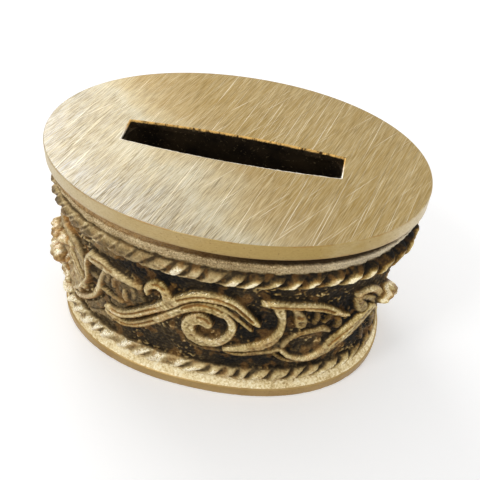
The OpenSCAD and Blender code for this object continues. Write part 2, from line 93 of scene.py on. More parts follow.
FLOOR_Z = span("floor_plate", 2)[0]
LOCK_X = middle_of("lock_plug", 0)

# Insets are measured from the envelope
FIELD_INSET, LEDGE_INSET, WALL_T = 3.2, 2.3, 2.6
INNER_INSET = FIELD_INSET + WALL_T
COVE_H = 4.4
COVE_Z = ROPE_TOP_Z + ROPE_H / 2 + COVE_H
COVE_INSET, LIP_INSET, NECK_INSET, WORN_NECK_INSET = 2.6, 1.1, 2.9, 1.45
RELIEF_H = 2.0
ROPE_DEPTH, ROPE_CRESTS, ROPE_SLANT = 2.6, 52, 0.40
UPPER_SWELL, LOWER_SWELL = (0.3, 1.4), (1.5, -0.7)  # added to the rope's depth at the left and right end
SLOT_L, SLOT_W, SLOT_BOW, SLOT_CORNER = 56.5, 7.9, 1.4, 0.7
LUG_ANGLES = (35, 145, 215, 325)
LUG_R, LUG_BORE, LUG_INSET = 3.6, 1.35, INNER_INSET + 2.8
UPPER_LUG_H, LOWER_LUG_H = 6.4, 6.2
SCREW_POCKET_R, SCREW_POCKET_H, EAR_H = 2.4, 1, 2
DRIVER_L, DRIVER_W = 6, 0.6


# ---- Outer envelope, the same rule as the construction's ----

def at_ground(measured, at_lid):
    """A size or shift of the envelope at the resting plane, from the one measured at the foot rim's edge."""
    return (measured - at_lid * RIM_SHARE) / (1 - RIM_SHARE)


FOOT_L = at_ground(length_of("foot_rim", 0), BOX_L)
FOOT_W = at_ground(length_of("foot_rim", 1), BOX_W)
FOOT_SHIFT = at_ground(middle_of("foot_rim", 0), LID_SHIFT)


def bent(value, power):
    return np.sign(value) * np.abs(value) ** (2 / power)


def wall_point(angle, z, inset):
    """Points at angles (degrees) round the box, at heights z, that far inside the envelope."""
    turn = np.radians(angle)
    rise = z / BOX_H
    power = FOOT_SQUARE + (LID_SQUARE - FOOT_SQUARE) * rise
    half_l = (FOOT_L + (BOX_L - FOOT_L) * rise) / 2 - inset
    half_w = (FOOT_W + (BOX_W - FOOT_W) * rise) / 2 - inset
    x = FOOT_SHIFT + (LID_SHIFT - FOOT_SHIFT) * rise + half_l * bent(np.cos(turn), power)
    y = half_w * bent(np.sin(turn), power)
    return np.stack([x, y, z + 0 * x], axis=-1)


# Distance round the wall starts at the left end and runs past the front
ARC_STEPS, ARC_INSET = 2880, 2.0
arc_angles = 180 + 360 * np.arange(ARC_STEPS + 1) / ARC_STEPS
arc_line = wall_point(arc_angles, np.full(ARC_STEPS + 1, BOX_H / 2), ARC_INSET)
arc_lengths = np.concatenate([[0], np.cumsum(np.linalg.norm(np.diff(arc_line, axis=0), axis=1))])
PERIMETER = arc_lengths[-1]


# ---- Mesh helpers ----

def new_object(name, points_mm, faces):
    """Smooth object from an array of points in millimetres and an array or list of faces."""
    mesh = bpy.data.meshes.new(name)
    mesh.from_pydata((np.asarray(points_mm) * MM).tolist(), [], [list(map(int, f)) for f in faces])
    mesh.validate()
    mesh.polygons.foreach_set("use_smooth", [True] * len(mesh.polygons))
    obj = bpy.data.objects.new(name, mesh)
    bpy.context.scene.collection.objects.link(obj)
    return obj


def grid_faces(rows, columns, closed=False):
    """Quads over rows of points that go round, outward where rows rise; closed joins the last row to the first."""
    r = np.arange(rows if closed else rows - 1)[:, None]
    c = np.arange(columns)[None, :]
    above, beside = (r + 1) % rows, (c + 1) % columns
    quads = [r * columns + c, r * columns + beside, above * columns + beside, above * columns + c]
    return np.stack([q + 0 * (r + c) for q in quads], axis=-1).reshape(-1, 4)


def turned(profile, x, y, count=48):
    """A closed profile of (radius, height) points turned about a vertical line."""
    turn = np.arange(count) / count * 2 * math.pi
    points = [[x + r * math.cos(a), y + r * math.sin(a), z] for r, z in profile for a in turn]
    return points, grid_faces(len(profile), count, closed=True)


def joined(name, parts):
    """One object from several lists of points and faces."""
    points, faces = [], []
    for part_points, part_faces in parts:
        faces.extend((np.asarray(part_faces) + len(points)).tolist())
        points.extend(part_points)
    return new_object(name, points, faces)


def dress(obj, body, slot, *nodes, finishes=()):
    """Gives a new piece its body and finishes (the one named by slot if none), and hides the nodes that it stands
    for.
    """
    obj.data.materials.clear()
    for finish in finishes or [slot]:
        obj.data.materials.append(FINISHES[finish])
    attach(obj, body)
    if nodes:
        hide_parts(*nodes)


def paint_rings(obj, finish_numbers, columns):
    """Gives each ring of faces one of the object's finishes."""
    obj.data.polygons.foreach_set("material_index", np.repeat(finish_numbers, columns))


# ---- Material helpers ----

class Nodes:
    """The node tree of a new material or world, with short calls for what the finishes share."""

    def __init__(self, name, world=False):
        self.owner = (bpy.data.worlds if world else bpy.data.materials).new(name)
        self.owner.use_nodes = True
        self.tree = self.owner.node_tree
        self.shader = self.tree.nodes["Background" if world else "Principled BSDF"]

    def fill(self, socket, value):
        """Links a socket or sets its value; a colour gets its alpha here."""
        if isinstance(value, bpy.types.NodeSocket):
            self.tree.links.new(value, socket)
        else:
            socket.default_value = (*value, 1) if socket.type == "RGBA" else value

    def add(self, kind, inputs, output=0, **settings):
        """One output of a new node, whose inputs are given by name or number."""
        node = self.tree.nodes.new(kind)
        for key, value in settings.items():
            setattr(node, key, value)
        for key, value in inputs.items():
            self.fill(node.inputs[key], value)
        return node.outputs[output]

    def place(self, turn=0.0, stretch=(1, 1, 1)):
        """Object coordinates in millimetres, turned about Z by degrees, then stretched."""
        coords = self.add("ShaderNodeTexCoord", {}, "Object")
        turned = self.add("ShaderNodeMapping", {
            "Vector": coords, "Rotation": (0, 0, math.radians(turn)), "Scale": (1 / MM, 1 / MM, 1 / MM)})
        return self.add("ShaderNodeVectorMath", {0: turned, 1: stretch}, operation="MULTIPLY")

    def axis(self, name):
        return self.add("ShaderNodeSeparateXYZ", {0: self.place()}, name)

    def noise(self, scale, detail, roughness, vector=None):
        return self.add("ShaderNodeTexNoise", {
            "Vector": vector or self.place(), "Scale": scale, "Detail": detail, "Roughness": roughness}, "Fac")

    def attribute(self, name):
        return self.add("ShaderNodeAttribute", {}, "Fac", attribute_name=name)

    def math(self, operation, a, b, clamp=False):
        return self.add("ShaderNodeMath", {0: a, 1: b}, operation=operation, use_clamp=clamp)

    def plus(self, a, b, clamp=False):
        return self.math("ADD", a, b, clamp)

    def times(self, a, b):
        return self.math("MULTIPLY", a, b)

    def most(self, a, b):
        return self.math("MAXIMUM", a, b)

    def range(self, value, low, high, to_low=0.0, to_high=1.0):
        return self.add("ShaderNodeMapRange", {
            "Value": value, "From Min": low, "From Max": high, "To Min": to_low, "To Max": to_high})

    def ramp(self, value, stops):
        node = self.tree.nodes.new("ShaderNodeValToRGB")
        self.fill(node.inputs["Fac"], value)
        ramp = node.color_ramp
        while len(ramp.elements) < len(stops):
            ramp.elements.new(0.5)
        for element, (place, colour) in zip(ramp.elements, stops):
            element.position = place
            element.color = (*colour, 1)
        return node.outputs["Color"]

    def mix(self, factor, a, b):
        return self.add("ShaderNodeMix", {"Factor": factor, "A": a, "B": b}, "Result", data_type="RGBA")

    def bump(self, height, distance, strength):
        return self.add("ShaderNodeBump", {"Distance": distance * MM, "Strength": strength, "Height": height})

    def seen_directly(self):
        """1 for rays from the camera, a mirror or glass, 0 for those that light the object."""
        camera, mirror, glass = [self.add("ShaderNodeLightPath", {}, "Is " + kind + " Ray")
                                 for kind in ("Camera", "Glossy", "Transmission")]
        return self.most(self.most(camera, mirror), glass)

    def shade(self, inputs):
        """Fills inputs of the shader, and gives the material or world."""
        for key, value in inputs.items():
            self.fill(self.shader.inputs[key], value)
        return self.owner

    def finish(self, colour, roughness, metallic, normal):
        return self.shade({"Base Color": colour, "Roughness": roughness, "Metallic": metallic, "Normal": normal})


# ---- Finishes ----

def streaks(n, turn, width, length, low, high):
    """Parallel scratches at an angle to X, as a 0 to 1 mask that grows as the noise goes from low to high."""
    return n.range(n.noise(1.0, 2.0, 0.6, n.place(-turn, (1 / length, 1 / width, 1 / width))), low, high)


def brushed_lid_finish():
    """Brushed gold, sanded from front to back in several passes, with long stray scratches; painted glare makes the
    left end pale grey-white, fading to gold towards the right.
    """
    n = Nodes("brushed_lid")
    fine = streaks(n, 74, 0.15, 6, 0.44, 0.58)
    coarse = streaks(n, 71, 0.22, 9, 0.50, 0.62)
    cross = streaks(n, 67, 0.19, 5, 0.50, 0.61)
    dark = streaks(n, 76, 0.22, 9, 0.57, 0.65)
    bright = n.most(streaks(n, 78, 0.22, 40, 0.665, 0.695), streaks(n, 56, 0.22, 24, 0.68, 0.715))
    mottle = n.noise(0.35, 3.0, 0.6, n.place(-72, (0.25, 1, 1)))
    # Painted glare: pale grey-white towards the left end, gold towards the right and a little paler again at the far
    # right; it also sets how strongly the cross and dark scratches show
    painted_glare_fade = n.range(n.plus(n.axis("X"), n.axis("Y")), -54, 36)
    painted_glare_fade = n.plus(painted_glare_fade, n.range(n.noise(0.05, 4.0, 0.55), 0.35, 0.65, -0.08, 0.08), clamp=True)
    base = n.ramp(painted_glare_fade, [
        (0.02, (0.385, 0.38, 0.36)), (0.13, (0.365, 0.345, 0.29)), (0.22, (0.41, 0.37, 0.285)),
        (0.33, (0.50, 0.465, 0.36)), (0.44, (0.45, 0.36, 0.21)), (0.56, (0.365, 0.25, 0.10)),
        (0.755, (0.36, 0.235, 0.068)), (1.0, (0.41, 0.28, 0.10))])
    for mask, colour in (
        (n.range(mottle, 0.35, 0.7, 0.0, 0.22), (0.27, 0.175, 0.05)),
        (n.times(fine, 0.34), (0.74, 0.62, 0.37)),
        (n.times(coarse, 0.24), (0.76, 0.65, 0.42)),
        (n.times(cross, n.range(painted_glare_fade, 0.1, 0.55, 0.62, 0.34)), (0.19, 0.135, 0.05)),
        (n.times(dark, n.range(painted_glare_fade, 0.1, 0.6, 0.75, 0.40)), (0.15, 0.105, 0.04)),
        (n.times(bright, 0.75), (0.90, 0.82, 0.64)),
    ):
        base = n.mix(mask, base, colour)
    rough = n.plus(n.range(fine, 0, 1, 0.36, 0.46), n.range(cross, 0, 1, 0.0, 0.06))
    height = n.plus(n.plus(fine, coarse), n.times(bright, 1.5))
    return n.finish(base, rough, 1.0, n.bump(height, 0.02, 0.3))


def satin_finish(name, colour, dark, roughness=0.36):
    """Smooth satin brass with faint grain, stains and tiny nicks."""
    n = Nodes(name)
    grain = n.noise(1.3, 3.0, 0.6, n.place(0, (1, 1, 6)))
    nicks = n.range(n.noise(2.2, 2.0, 0.5), 0.66, 0.74)
    base = n.mix(n.range(n.noise(0.09, 4.0, 0.6), 0.35, 0.7), colour, dark)
    base = n.mix(n.range(grain, 0.4, 0.7, 0.0, 0.3), base, dark)
    base = n.mix(n.times(nicks, 0.6), base, (0.10, 0.06, 0.03))
    rough = n.range(grain, 0.3, 0.7, roughness, roughness + 0.12)
    return n.finish(base, rough, 1.0, n.bump(grain, 0.03, 0.4))


def band_finish():
    """Side of the lid: satin gold, painted paler towards both ends as painted highlights, stained brown along its
    edges.
    """
    n = Nodes("satin_band")
    z = n.axis("Z")
    grain = n.noise(1.4, 3.0, 0.65, n.place(0, (1, 1, 5)))
    nicks = n.range(n.noise(2.0, 2.0, 0.5), 0.64, 0.74)
    stray = n.range(n.noise(0.12, 4.0, 0.6), 0.3, 0.7, -0.06, 0.06)
    # Painted highlights: the ramp along X makes both ends of the band paler
    base = n.ramp(n.plus(n.range(n.axis("X"), -50, 50), stray, clamp=True), [
        (0.0, (0.62, 0.53, 0.34)), (0.25, (0.53, 0.42, 0.23)), (0.5, (0.45, 0.32, 0.125)),
        (0.8, (0.42, 0.295, 0.10)), (1.0, (0.66, 0.56, 0.36))])
    base = n.mix(n.range(grain, 0.4, 0.7, 0.0, 0.4), base, (0.30, 0.19, 0.06))
    base = n.mix(n.times(nicks, 0.5), base, (0.14, 0.08, 0.03))
    edge = n.most(n.range(z, LID_Z + 0.7, LID_Z + 0.2), n.range(z, BOX_H - 0.5, BOX_H - 0.1))
    edge = n.times(edge, n.range(n.noise(0.22, 3.0, 0.6), 0.42, 0.62, 0.0, 0.65))
    base = n.mix(edge, base, (0.34, 0.17, 0.05))
    return n.finish(base, n.range(grain, 0.3, 0.7, 0.32, 0.46), 1.0, n.bump(grain, 0.04, 0.5))


def slot_edge_finish():
    """Burred edge of the slot: near-black broken by a painted orange glint on the far side, a painted pale highlight
    on the near side.
    """
    n = Nodes("slot_edge")
    teeth = n.noise(0.8, 4.0, 0.75, n.place(0, (1, 0.3, 0.3)))
    # far carries the painted orange glint, near the painted pale highlight
    far = n.mix(n.range(teeth, 0.36, 0.52), (0.04, 0.02, 0.008), (0.62, 0.38, 0.12))
    near = n.mix(n.range(teeth, 0.3, 0.6), (0.55, 0.45, 0.27), (0.95, 0.90, 0.78))
    base = n.mix(n.range(n.axis("Y"), -2.0, 2.0), near, far)
    return n.finish(base, n.range(teeth, 0.3, 0.7, 0.3, 0.5), 1.0, n.bump(teeth, 0.1, 0.8))


def cast_finish():
    """Cast brass: dark patina in the hollows, orange-brown stains, pale gold where the crests are worn; its levels
    also paint highlights on the edges that face up and shade in the hollows and on the edges that face down.
    """
    n = Nodes("cast_brass")
    relief, age, cove = n.attribute("relief"), n.attribute("age"), n.attribute("cove")
    cloud = n.noise(0.14, 4.0, 0.6)
    grit = n.noise(1.5, 4.0, 0.72)
    sand = n.noise(3.2, 2.0, 0.6)
    # cavity darkens the hollows: patina, and painted shade
    level = n.math("SUBTRACT", relief, n.times(n.attribute("cavity"), 0.6))
    level = n.most(level, n.attribute("fleck"))
    gritty = n.most(n.range(relief, 0.25, 0.7, 1.0, 0.65), n.range(age, 0.1, 0.5, 1.15, 0.0))
    level = n.plus(level, n.times(n.range(grit, 0.3, 0.7, -0.21, 0.21), gritty))
    level = n.plus(level, n.range(cloud, 0.3, 0.7, -0.05, 0.05), clamp=True)
    aged = n.ramp(level, [
        (0.0, (0.006, 0.005, 0.004)), (0.22, (0.024, 0.017, 0.008)), (0.42, (0.080, 0.046, 0.014)),
        (0.60, (0.19, 0.112, 0.030)), (0.72, (0.34, 0.240, 0.085)), (0.90, (0.60, 0.46, 0.20)),
        (1.0, (0.98, 0.86, 0.55))])
    worn = n.ramp(level, [
        (0.0, (0.075, 0.048, 0.020)), (0.22, (0.16, 0.108, 0.045)), (0.42, (0.27, 0.192, 0.088)),
        (0.58, (0.39, 0.285, 0.132)), (0.74, (0.51, 0.39, 0.20)), (0.90, (0.70, 0.58, 0.34)),
        (1.0, (0.98, 0.90, 0.68))])
    base = n.mix(age, worn, aged)
    orange = n.times(n.range(n.noise(0.45, 3.0, 0.6), 0.54, 0.66), n.range(level, 0.2, 0.5))
    # the stain attribute also carries painted shade on the relief's edges that face down
    orange = n.most(n.times(orange, 0.28), n.times(n.attribute("stain"), 0.8))
    base = n.mix(orange, base, n.mix(n.range(grit, 0.35, 0.65), (0.24, 0.10, 0.025), (0.52, 0.27, 0.07)))
    sandy_cove_and_glare = n.ramp(n.plus(n.range(sand, 0.25, 0.75, 0, 0.7), n.range(cloud, 0.3, 0.7, 0, 0.3)), [
        (0.22, (0.20, 0.125, 0.05)), (0.48, (0.55, 0.40, 0.20)), (0.8, (1.0, 0.84, 0.52))])
    # Painted glare: the cove turns near-white towards the right end
    sandy_cove_and_glare = n.mix(n.range(n.axis("X"), 18, 46, 0.0, 0.55), sandy_cove_and_glare, (0.88, 0.82, 0.66))
    base = n.mix(cove, base, sandy_cove_and_glare)
    metallic = n.times(n.range(level, 0.15, 0.6), n.range(cove, 0, 1, 1, 0.4))
    rough = n.plus(n.range(level, 0.1, 0.9, 0.6, 0.27), n.range(grit, 0.3, 0.7, -0.08, 0.08))
    rough = n.plus(rough, n.times(cove, 0.1))
    height = n.times(n.plus(grit, n.times(sand, 0.5)), gritty)
    n.shade({"Specular IOR Level": 0.14})
    return n.finish(base, rough, metallic, n.bump(height, 0.32, 1.0))


def ledge_finish():
    """Rough pale cast gold with dark specks, below the lower rope."""
    n = Nodes("cast_ledge")
    grit, sand, cloud = n.noise(1.5, 4.0, 0.7), n.noise(3.4, 2.0, 0.6), n.noise(0.2, 3.0, 0.6)
    base = n.ramp(n.plus(n.range(grit, 0.28, 0.72, 0, 0.7), n.range(cloud, 0.3, 0.7, 0, 0.3), clamp=True), [
        (0.06, (0.20, 0.12, 0.045)), (0.24, (0.52, 0.38, 0.17)), (0.5, (0.80, 0.66, 0.38)),
        (0.8, (0.98, 0.90, 0.66))])
    return n.finish(base, n.range(sand, 0.3, 0.7, 0.34, 0.56), 0.85, n.bump(n.plus(grit, sand), 0.16, 0.8))


def dark_finish():
    """Dark patina that shows a little brass where it is rubbed."""
    n = Nodes("dark_brass")
    grit = n.noise(1.6, 3.0, 0.6)
    base = n.mix(n.range(n.noise(0.15, 4.0, 0.6), 0.35, 0.75, 0.0, 0.6), (0.035, 0.026, 0.018), (0.16, 0.105, 0.05))
    base = n.mix(n.range(grit, 0.62, 0.72), base, (0.36, 0.27, 0.14))
    return n.finish(base, n.range(grit, 0.3, 0.7, 0.42, 0.6), 0.85, n.bump(grit, 0.05, 0.5))


def steel_finish():
    n = Nodes("steel")
    lathed = n.noise(1.0, 3.0, 0.6, n.place(0, (1, 1, 12)))
    base = n.mix(n.range(lathed, 0.3, 0.7), (0.42, 0.42, 0.41), (0.62, 0.62, 0.61))
    return n.finish(base, n.range(lathed, 0.3, 0.7, 0.28, 0.42), 1.0, n.bump(lathed, 0.02, 0.3))


FINISHES = {
    "lid_brass": brushed_lid_finish(),
    "lid_band": band_finish(),
    "rim_brass": satin_finish("satin_rim", (0.47, 0.33, 0.145), (0.36, 0.23, 0.08)),
    "cast_brass": cast_finish(),
    "ledge": ledge_finish(),
    "slot_edge": slot_edge_finish(),
    "dark_brass": dark_finish(),
    "lock_brass": satin_finish("lock_brass", (0.66, 0.53, 0.29), (0.50, 0.37, 0.17), 0.26),
    "steel": steel_finish(),
}


# ---- Relief drawing on the unrolled wall ----
# A stroke is a share of the relief's height, then its points: distance round the wall, height and width, in
# millimetres. A groove is carved into the strokes, and its share says how deep.

VINE = [
    (1.0, (35, 20.6, 1.6), (37.4, 20.3, 2.2), (39.6, 20.7, 2.6), (41.6, 21.6, 2.6), (44, 23.4, 2.6),
        (46.8, 25.8, 2.6), (49.6, 28.3, 2.6), (52, 30.6, 2.9), (54.2, 32.8, 3.4), (56.2, 34.6, 2.9),
        (58.4, 36.4, 2.7), (61, 37.8, 2.7), (64, 38.3, 2.7), (67, 38.3, 2.6), (69.6, 37.7, 2.5), (71.6, 36.6, 2.4),
        (73.8, 34.2, 2.3), (75.8, 31.8, 2.0), (77.4, 30.1, 1.3)),
    (0.95, (34.8, 19, 1.2), (36.6, 18, 1.6), (39.2, 17.2, 1.9), (41.8, 17.6, 2.0), (44.4, 19, 2.3), (46.8, 20.8, 2.4),
        (49.6, 23.4, 2.4), (52.3, 26.1, 2.4), (55.1, 29.2, 2.4), (57.9, 31.8, 2.5), (60.7, 33.7, 2.9),
        (63.4, 34.5, 3.3), (66.2, 34.2, 3.5), (68.4, 33, 2.7)),
    (1.0, (54, 33.2, 3.0), (53.6, 34.9, 2.8), (53.1, 36.5, 2.4), (52, 37.8, 2.3), (50.3, 38.2, 2.4),
        (48.8, 37.2, 2.0), (47.9, 35.5, 1.5), (48.2, 34, 1.0)),
    (0.85, (66, 35.8, 0.9), (69, 34.5, 1.0), (71.8, 32, 1.0), (74, 29.6, 0.9), (75.9, 27.5, 0.7)),
    (0.6, (70.2, 35.4, 1.1), (72.6, 33, 1.1), (75, 30, 0.9)),
]
SPIRAL = [
    (1.0, (68.6, 33, 1.7), (70.3, 30.6, 2.0), (70.9, 27.8, 2.1), (70.2, 24.6, 2.2), (68.4, 21.9, 2.3),
        (65.6, 20.3, 2.5), (62.6, 20.5, 2.9), (60.3, 22.4, 3.3), (59.4, 25.2, 3.5), (60, 27.9, 3.6),
        (61.9, 29.4, 3.8), (63.6, 28.8, 3.4), (64.6, 27.6, 2.4)),
    (0.5, (59, 18.4, 0.6), (61.5, 17.3, 0.7), (64.4, 16.7, 0.7), (67, 16.9, 0.7), (69.4, 17.6, 0.8)),
    (0.3, (60.4, 18.8, 1.6), (64.4, 17.8, 1.8), (68, 18.4, 1.6)),
]
LEFT_LEAF = [
    (0.9, (30.2, 36.2, 2.8), (32, 36.6, 3.8), (34.4, 36.3, 3.4), (37, 35.8, 2.2), (40, 35.4, 1.8), (43, 35, 1.5),
        (46, 34.6, 1.3)),
    (0.95, (34.7, 34.2, 1.3), (33.7, 31.4, 1.4), (33, 28.9, 1.5), (32.7, 27, 1.7), (31.9, 25.2, 1.9), (31, 23, 1.6),
        (29.6, 20.9, 1.6), (27.2, 18.4, 1.6), (24.4, 16.2, 1.5), (21.3, 14.6, 1.3), (17.6, 14.4, 1.1)),
    (0.42, (36, 33.4, 3.0), (39, 32.8, 3.6), (42, 32.4, 3.6), (45, 32, 2.8)),
    (0.42, (35.6, 29.4, 2.6), (39, 28.8, 4.2), (42.4, 28.8, 4.4), (45.4, 29.4, 3.2)),
    (0.36, (36, 25.4, 2.4), (39.6, 26, 3.4), (43, 27, 3.0)),
    (0.65, (35.8, 34.2, 2.0), (35.4, 32.4, 2.0), (35, 30.8, 1.6)),
    (0.7, (37.5, 30.4, 1.0), (37.4, 32.4, 1.1), (38.5, 34, 1.1), (40.4, 34.2, 1.0)),
    (0.8, (41, 30.6, 1.2), (41.2, 29, 1.7), (41.6, 27.4, 1.3)),
    (0.55, (43.4, 32.2, 1.6), (43.8, 30.2, 1.8), (43.4, 28.4, 1.2)),
    (0.45, (39.6, 32.4, 1.6), (39.8, 31, 1.4)),
    (0.75, (33.4, 26.9, 1.0), (35.4, 26.2, 1.0), (37.6, 25.7, 1.0), (40.2, 25.5, 0.8)),
    (0.45, (37, 23.6, 2.2), (39.4, 23.8, 2.4), (41.4, 25.2, 1.6)),
    (0.55, (28.6, 29.4, 1.2), (30.6, 29.2, 1.5), (32.6, 29.4, 1.2)),
    (0.4, (34.6, 22.4, 2.4), (32.6, 19.6, 2.8), (29.6, 16.4, 2.4), (26, 13.8, 1.8)),
    (0.5, (36, 15, 1.4), (32.6, 15.2, 1.8), (29.6, 13.8, 1.6), (27, 12.2, 1.2)),
    (0.45, (24, 14.6, 1.4), (21, 12.8, 1.6), (18, 12, 1.4)),
    (0.45, (31, 42.2, 2.2), (34, 42, 2.4), (37.6, 41.8, 2.0)),
]
RIGHT_LEAF = [
    (0.95, (69.4, 18.4, 1.2), (72.4, 19.2, 1.6), (75.6, 20, 2.2), (78.6, 21.3, 2.6), (81, 23.1, 2.6),
        (82.5, 25.5, 2.2), (83.3, 28, 1.8), (83.5, 30.6, 1.7), (83.2, 33.2, 1.9), (82.4, 35.7, 2.6),
        (81.6, 37.4, 2.4)),
    (0.75, (70, 17.2, 1.0), (72.4, 16.7, 1.1), (75, 17, 1.2), (78, 17.8, 1.3), (81, 18.4, 1.3), (84, 19.6, 1.3)),
    (0.45, (73, 18.2, 1.6), (77, 19, 2.2), (80.6, 20.2, 2.4), (83.4, 21.4, 1.8)),
    (1.0, (78.2, 38.4, 1.2), (80, 38.2, 2.0), (82, 37.9, 2.1), (84, 37.6, 1.8), (86, 37.3, 1.8), (88.5, 37, 1.9),
        (91, 36.4, 2.1), (93.5, 35.4, 2.2), (95.6, 34.2, 2.1), (97.8, 32.6, 1.7), (99.8, 31, 1.2),
        (101.6, 30.1, 0.8)),
    (0.8, (86.5, 35.6, 1.6), (87.3, 34, 1.8), (88, 32.2, 2.9), (88.4, 30.5, 3.3), (88.5, 29.5, 2.4)),
    (0.6, (92.6, 33.8, 0.9), (92.9, 31.6, 1.4), (92.3, 29.5, 1.0)),
    (0.6, (96.4, 32.4, 0.6), (96.2, 30.8, 0.9), (95.1, 29.3, 1.0)),
    (0.7, (99.2, 29, 1.0), (99.5, 27.4, 1.8), (99.2, 26.1, 1.5)),
    (0.75, (84.6, 20.8, 1.2), (85.6, 23, 1.1), (87.5, 24.9, 1.0), (90.4, 25.9, 0.9), (93, 26.2, 0.9),
        (95.2, 26.4, 1.6), (96.8, 25.3, 1.1)),
    (0.95, (84.6, 19, 1.2), (86.4, 16.9, 1.4), (88.6, 15.5, 1.5), (91.4, 14.8, 1.6), (94, 15.4, 2.0), (96.6, 17, 3.0),
        (99.4, 19.5, 3.9), (102.2, 22, 4.1), (105, 24.4, 3.8), (107.6, 26.5, 3.6), (109.8, 28, 3.2)),
    (0.3, (88, 17.6, 2.4), (92, 17.2, 2.6), (95.4, 19.2, 2.2)),
    (0.65, (82.9, 17.2, 0.7), (84.4, 15.8, 0.9), (86.7, 14.4, 0.9), (90.3, 13.6, 0.9), (93.9, 13.5, 0.9),
        (96.7, 14.3, 0.9), (99.4, 15.6, 0.9), (102.2, 17.6, 0.9), (105, 20.1, 1.0), (107.8, 22.6, 1.0),
        (110, 24.4, 1.0), (113, 25.4, 1.0)),
]
LEFT_END = [
    (0.8, (18, 37.4, 3.0), (21.6, 35.4, 4.2), (24.6, 32.4, 4.0), (26, 29.6, 3.0)),
    (0.9, (14, 34, 3.6), (18, 31.4, 5.2), (21.4, 28, 5.4), (24.2, 24.4, 4.6), (25.4, 22, 3.2)),
    (0.85, (9, 31, 4.0), (13.4, 28, 5.4), (17.4, 24.4, 5.6), (20.6, 20.8, 4.8), (22.4, 18, 3.0)),
    (0.75, (6, 27, 4.4), (10, 23.4, 5.2), (14, 19.6, 5.2), (17, 16.2, 3.6), (18.6, 13.6, 2.4)),
    (0.7, (3, 34.6, 4.4), (7, 33, 5.0), (11, 34.6, 4.6), (15, 37, 3.4)),
    (1.0, (30.4, 38.2, 1.1), (28.8, 35.6, 1.1), (28, 32.6, 1.1), (27.9, 29.8, 1.1), (27.8, 27, 1.1), (27, 25, 1.2),
        (25.7, 22.9, 1.2), (24.3, 20.6, 1.2), (22.4, 18.3, 1.2), (20, 15.8, 1.1)),
    (1.35, (22, 34.6, 1.8), (19.6, 34, 2.4), (17.4, 33.4, 3.0)),
    (2.2, (17.6, 33.2, 3.2), (14.6, 32.6, 4.4), (12, 32.4, 3.4), (9.8, 33.4, 1.6)),
    (1.6, (15.6, 30.6, 2.4), (13, 29.4, 2.6), (10.8, 28.6, 1.6)),
    (1.5, (20.6, 26.8, 1.8), (18, 26, 2.8), (16, 25.2, 3.8)),
    (2.7, (16, 25, 4.0), (12.8, 23.8, 5.2), (10.2, 23.4, 4.0), (7.8, 25, 1.8)),
    (1.5, (16, 20.6, 2.4), (12.6, 19.8, 2.8), (9.6, 20.6, 1.4)),
    (1.4, (15, 14, 2.4), (11.6, 14.6, 2.8), (9, 16, 1.4)),
]
RIGHT_END = [
    (0.95, (103, 36.8, 1.1), (106, 37.1, 1.3), (108.6, 36.1, 1.7), (110.8, 34, 1.9), (112.6, 31.4, 2.2),
        (114, 29.2, 2.6)),
    (0.85, (103.4, 35.4, 1.6), (104.3, 33.4, 2.6), (105.6, 31.2, 3.2), (106.9, 29.6, 2.2)),
    (0.8, (104.4, 35.6, 1.3), (107, 33.9, 1.6), (109.4, 32, 1.8), (111.2, 30, 2.2)),
    (0.7, (107, 28.8, 2.4), (110, 27.4, 3.0), (113, 27.6, 3.0)),
    (2.1, (112.8, 29.6, 3.0), (115.4, 30.6, 4.0), (118.6, 28.2, 4.2)),
    (0.55, (109.2, 20, 0.8), (110.4, 16.6, 0.9), (111.6, 13, 0.9)),
    (0.6, (113.4, 22, 1.6), (114.8, 18.8, 1.6), (115.4, 15.2, 1.2)),
]
MOTIF = {"scroll": VINE + SPIRAL, "left_leaf": LEFT_LEAF, "right_leaf": RIGHT_LEAF, "left_end": LEFT_END,
         "right_end": RIGHT_END}
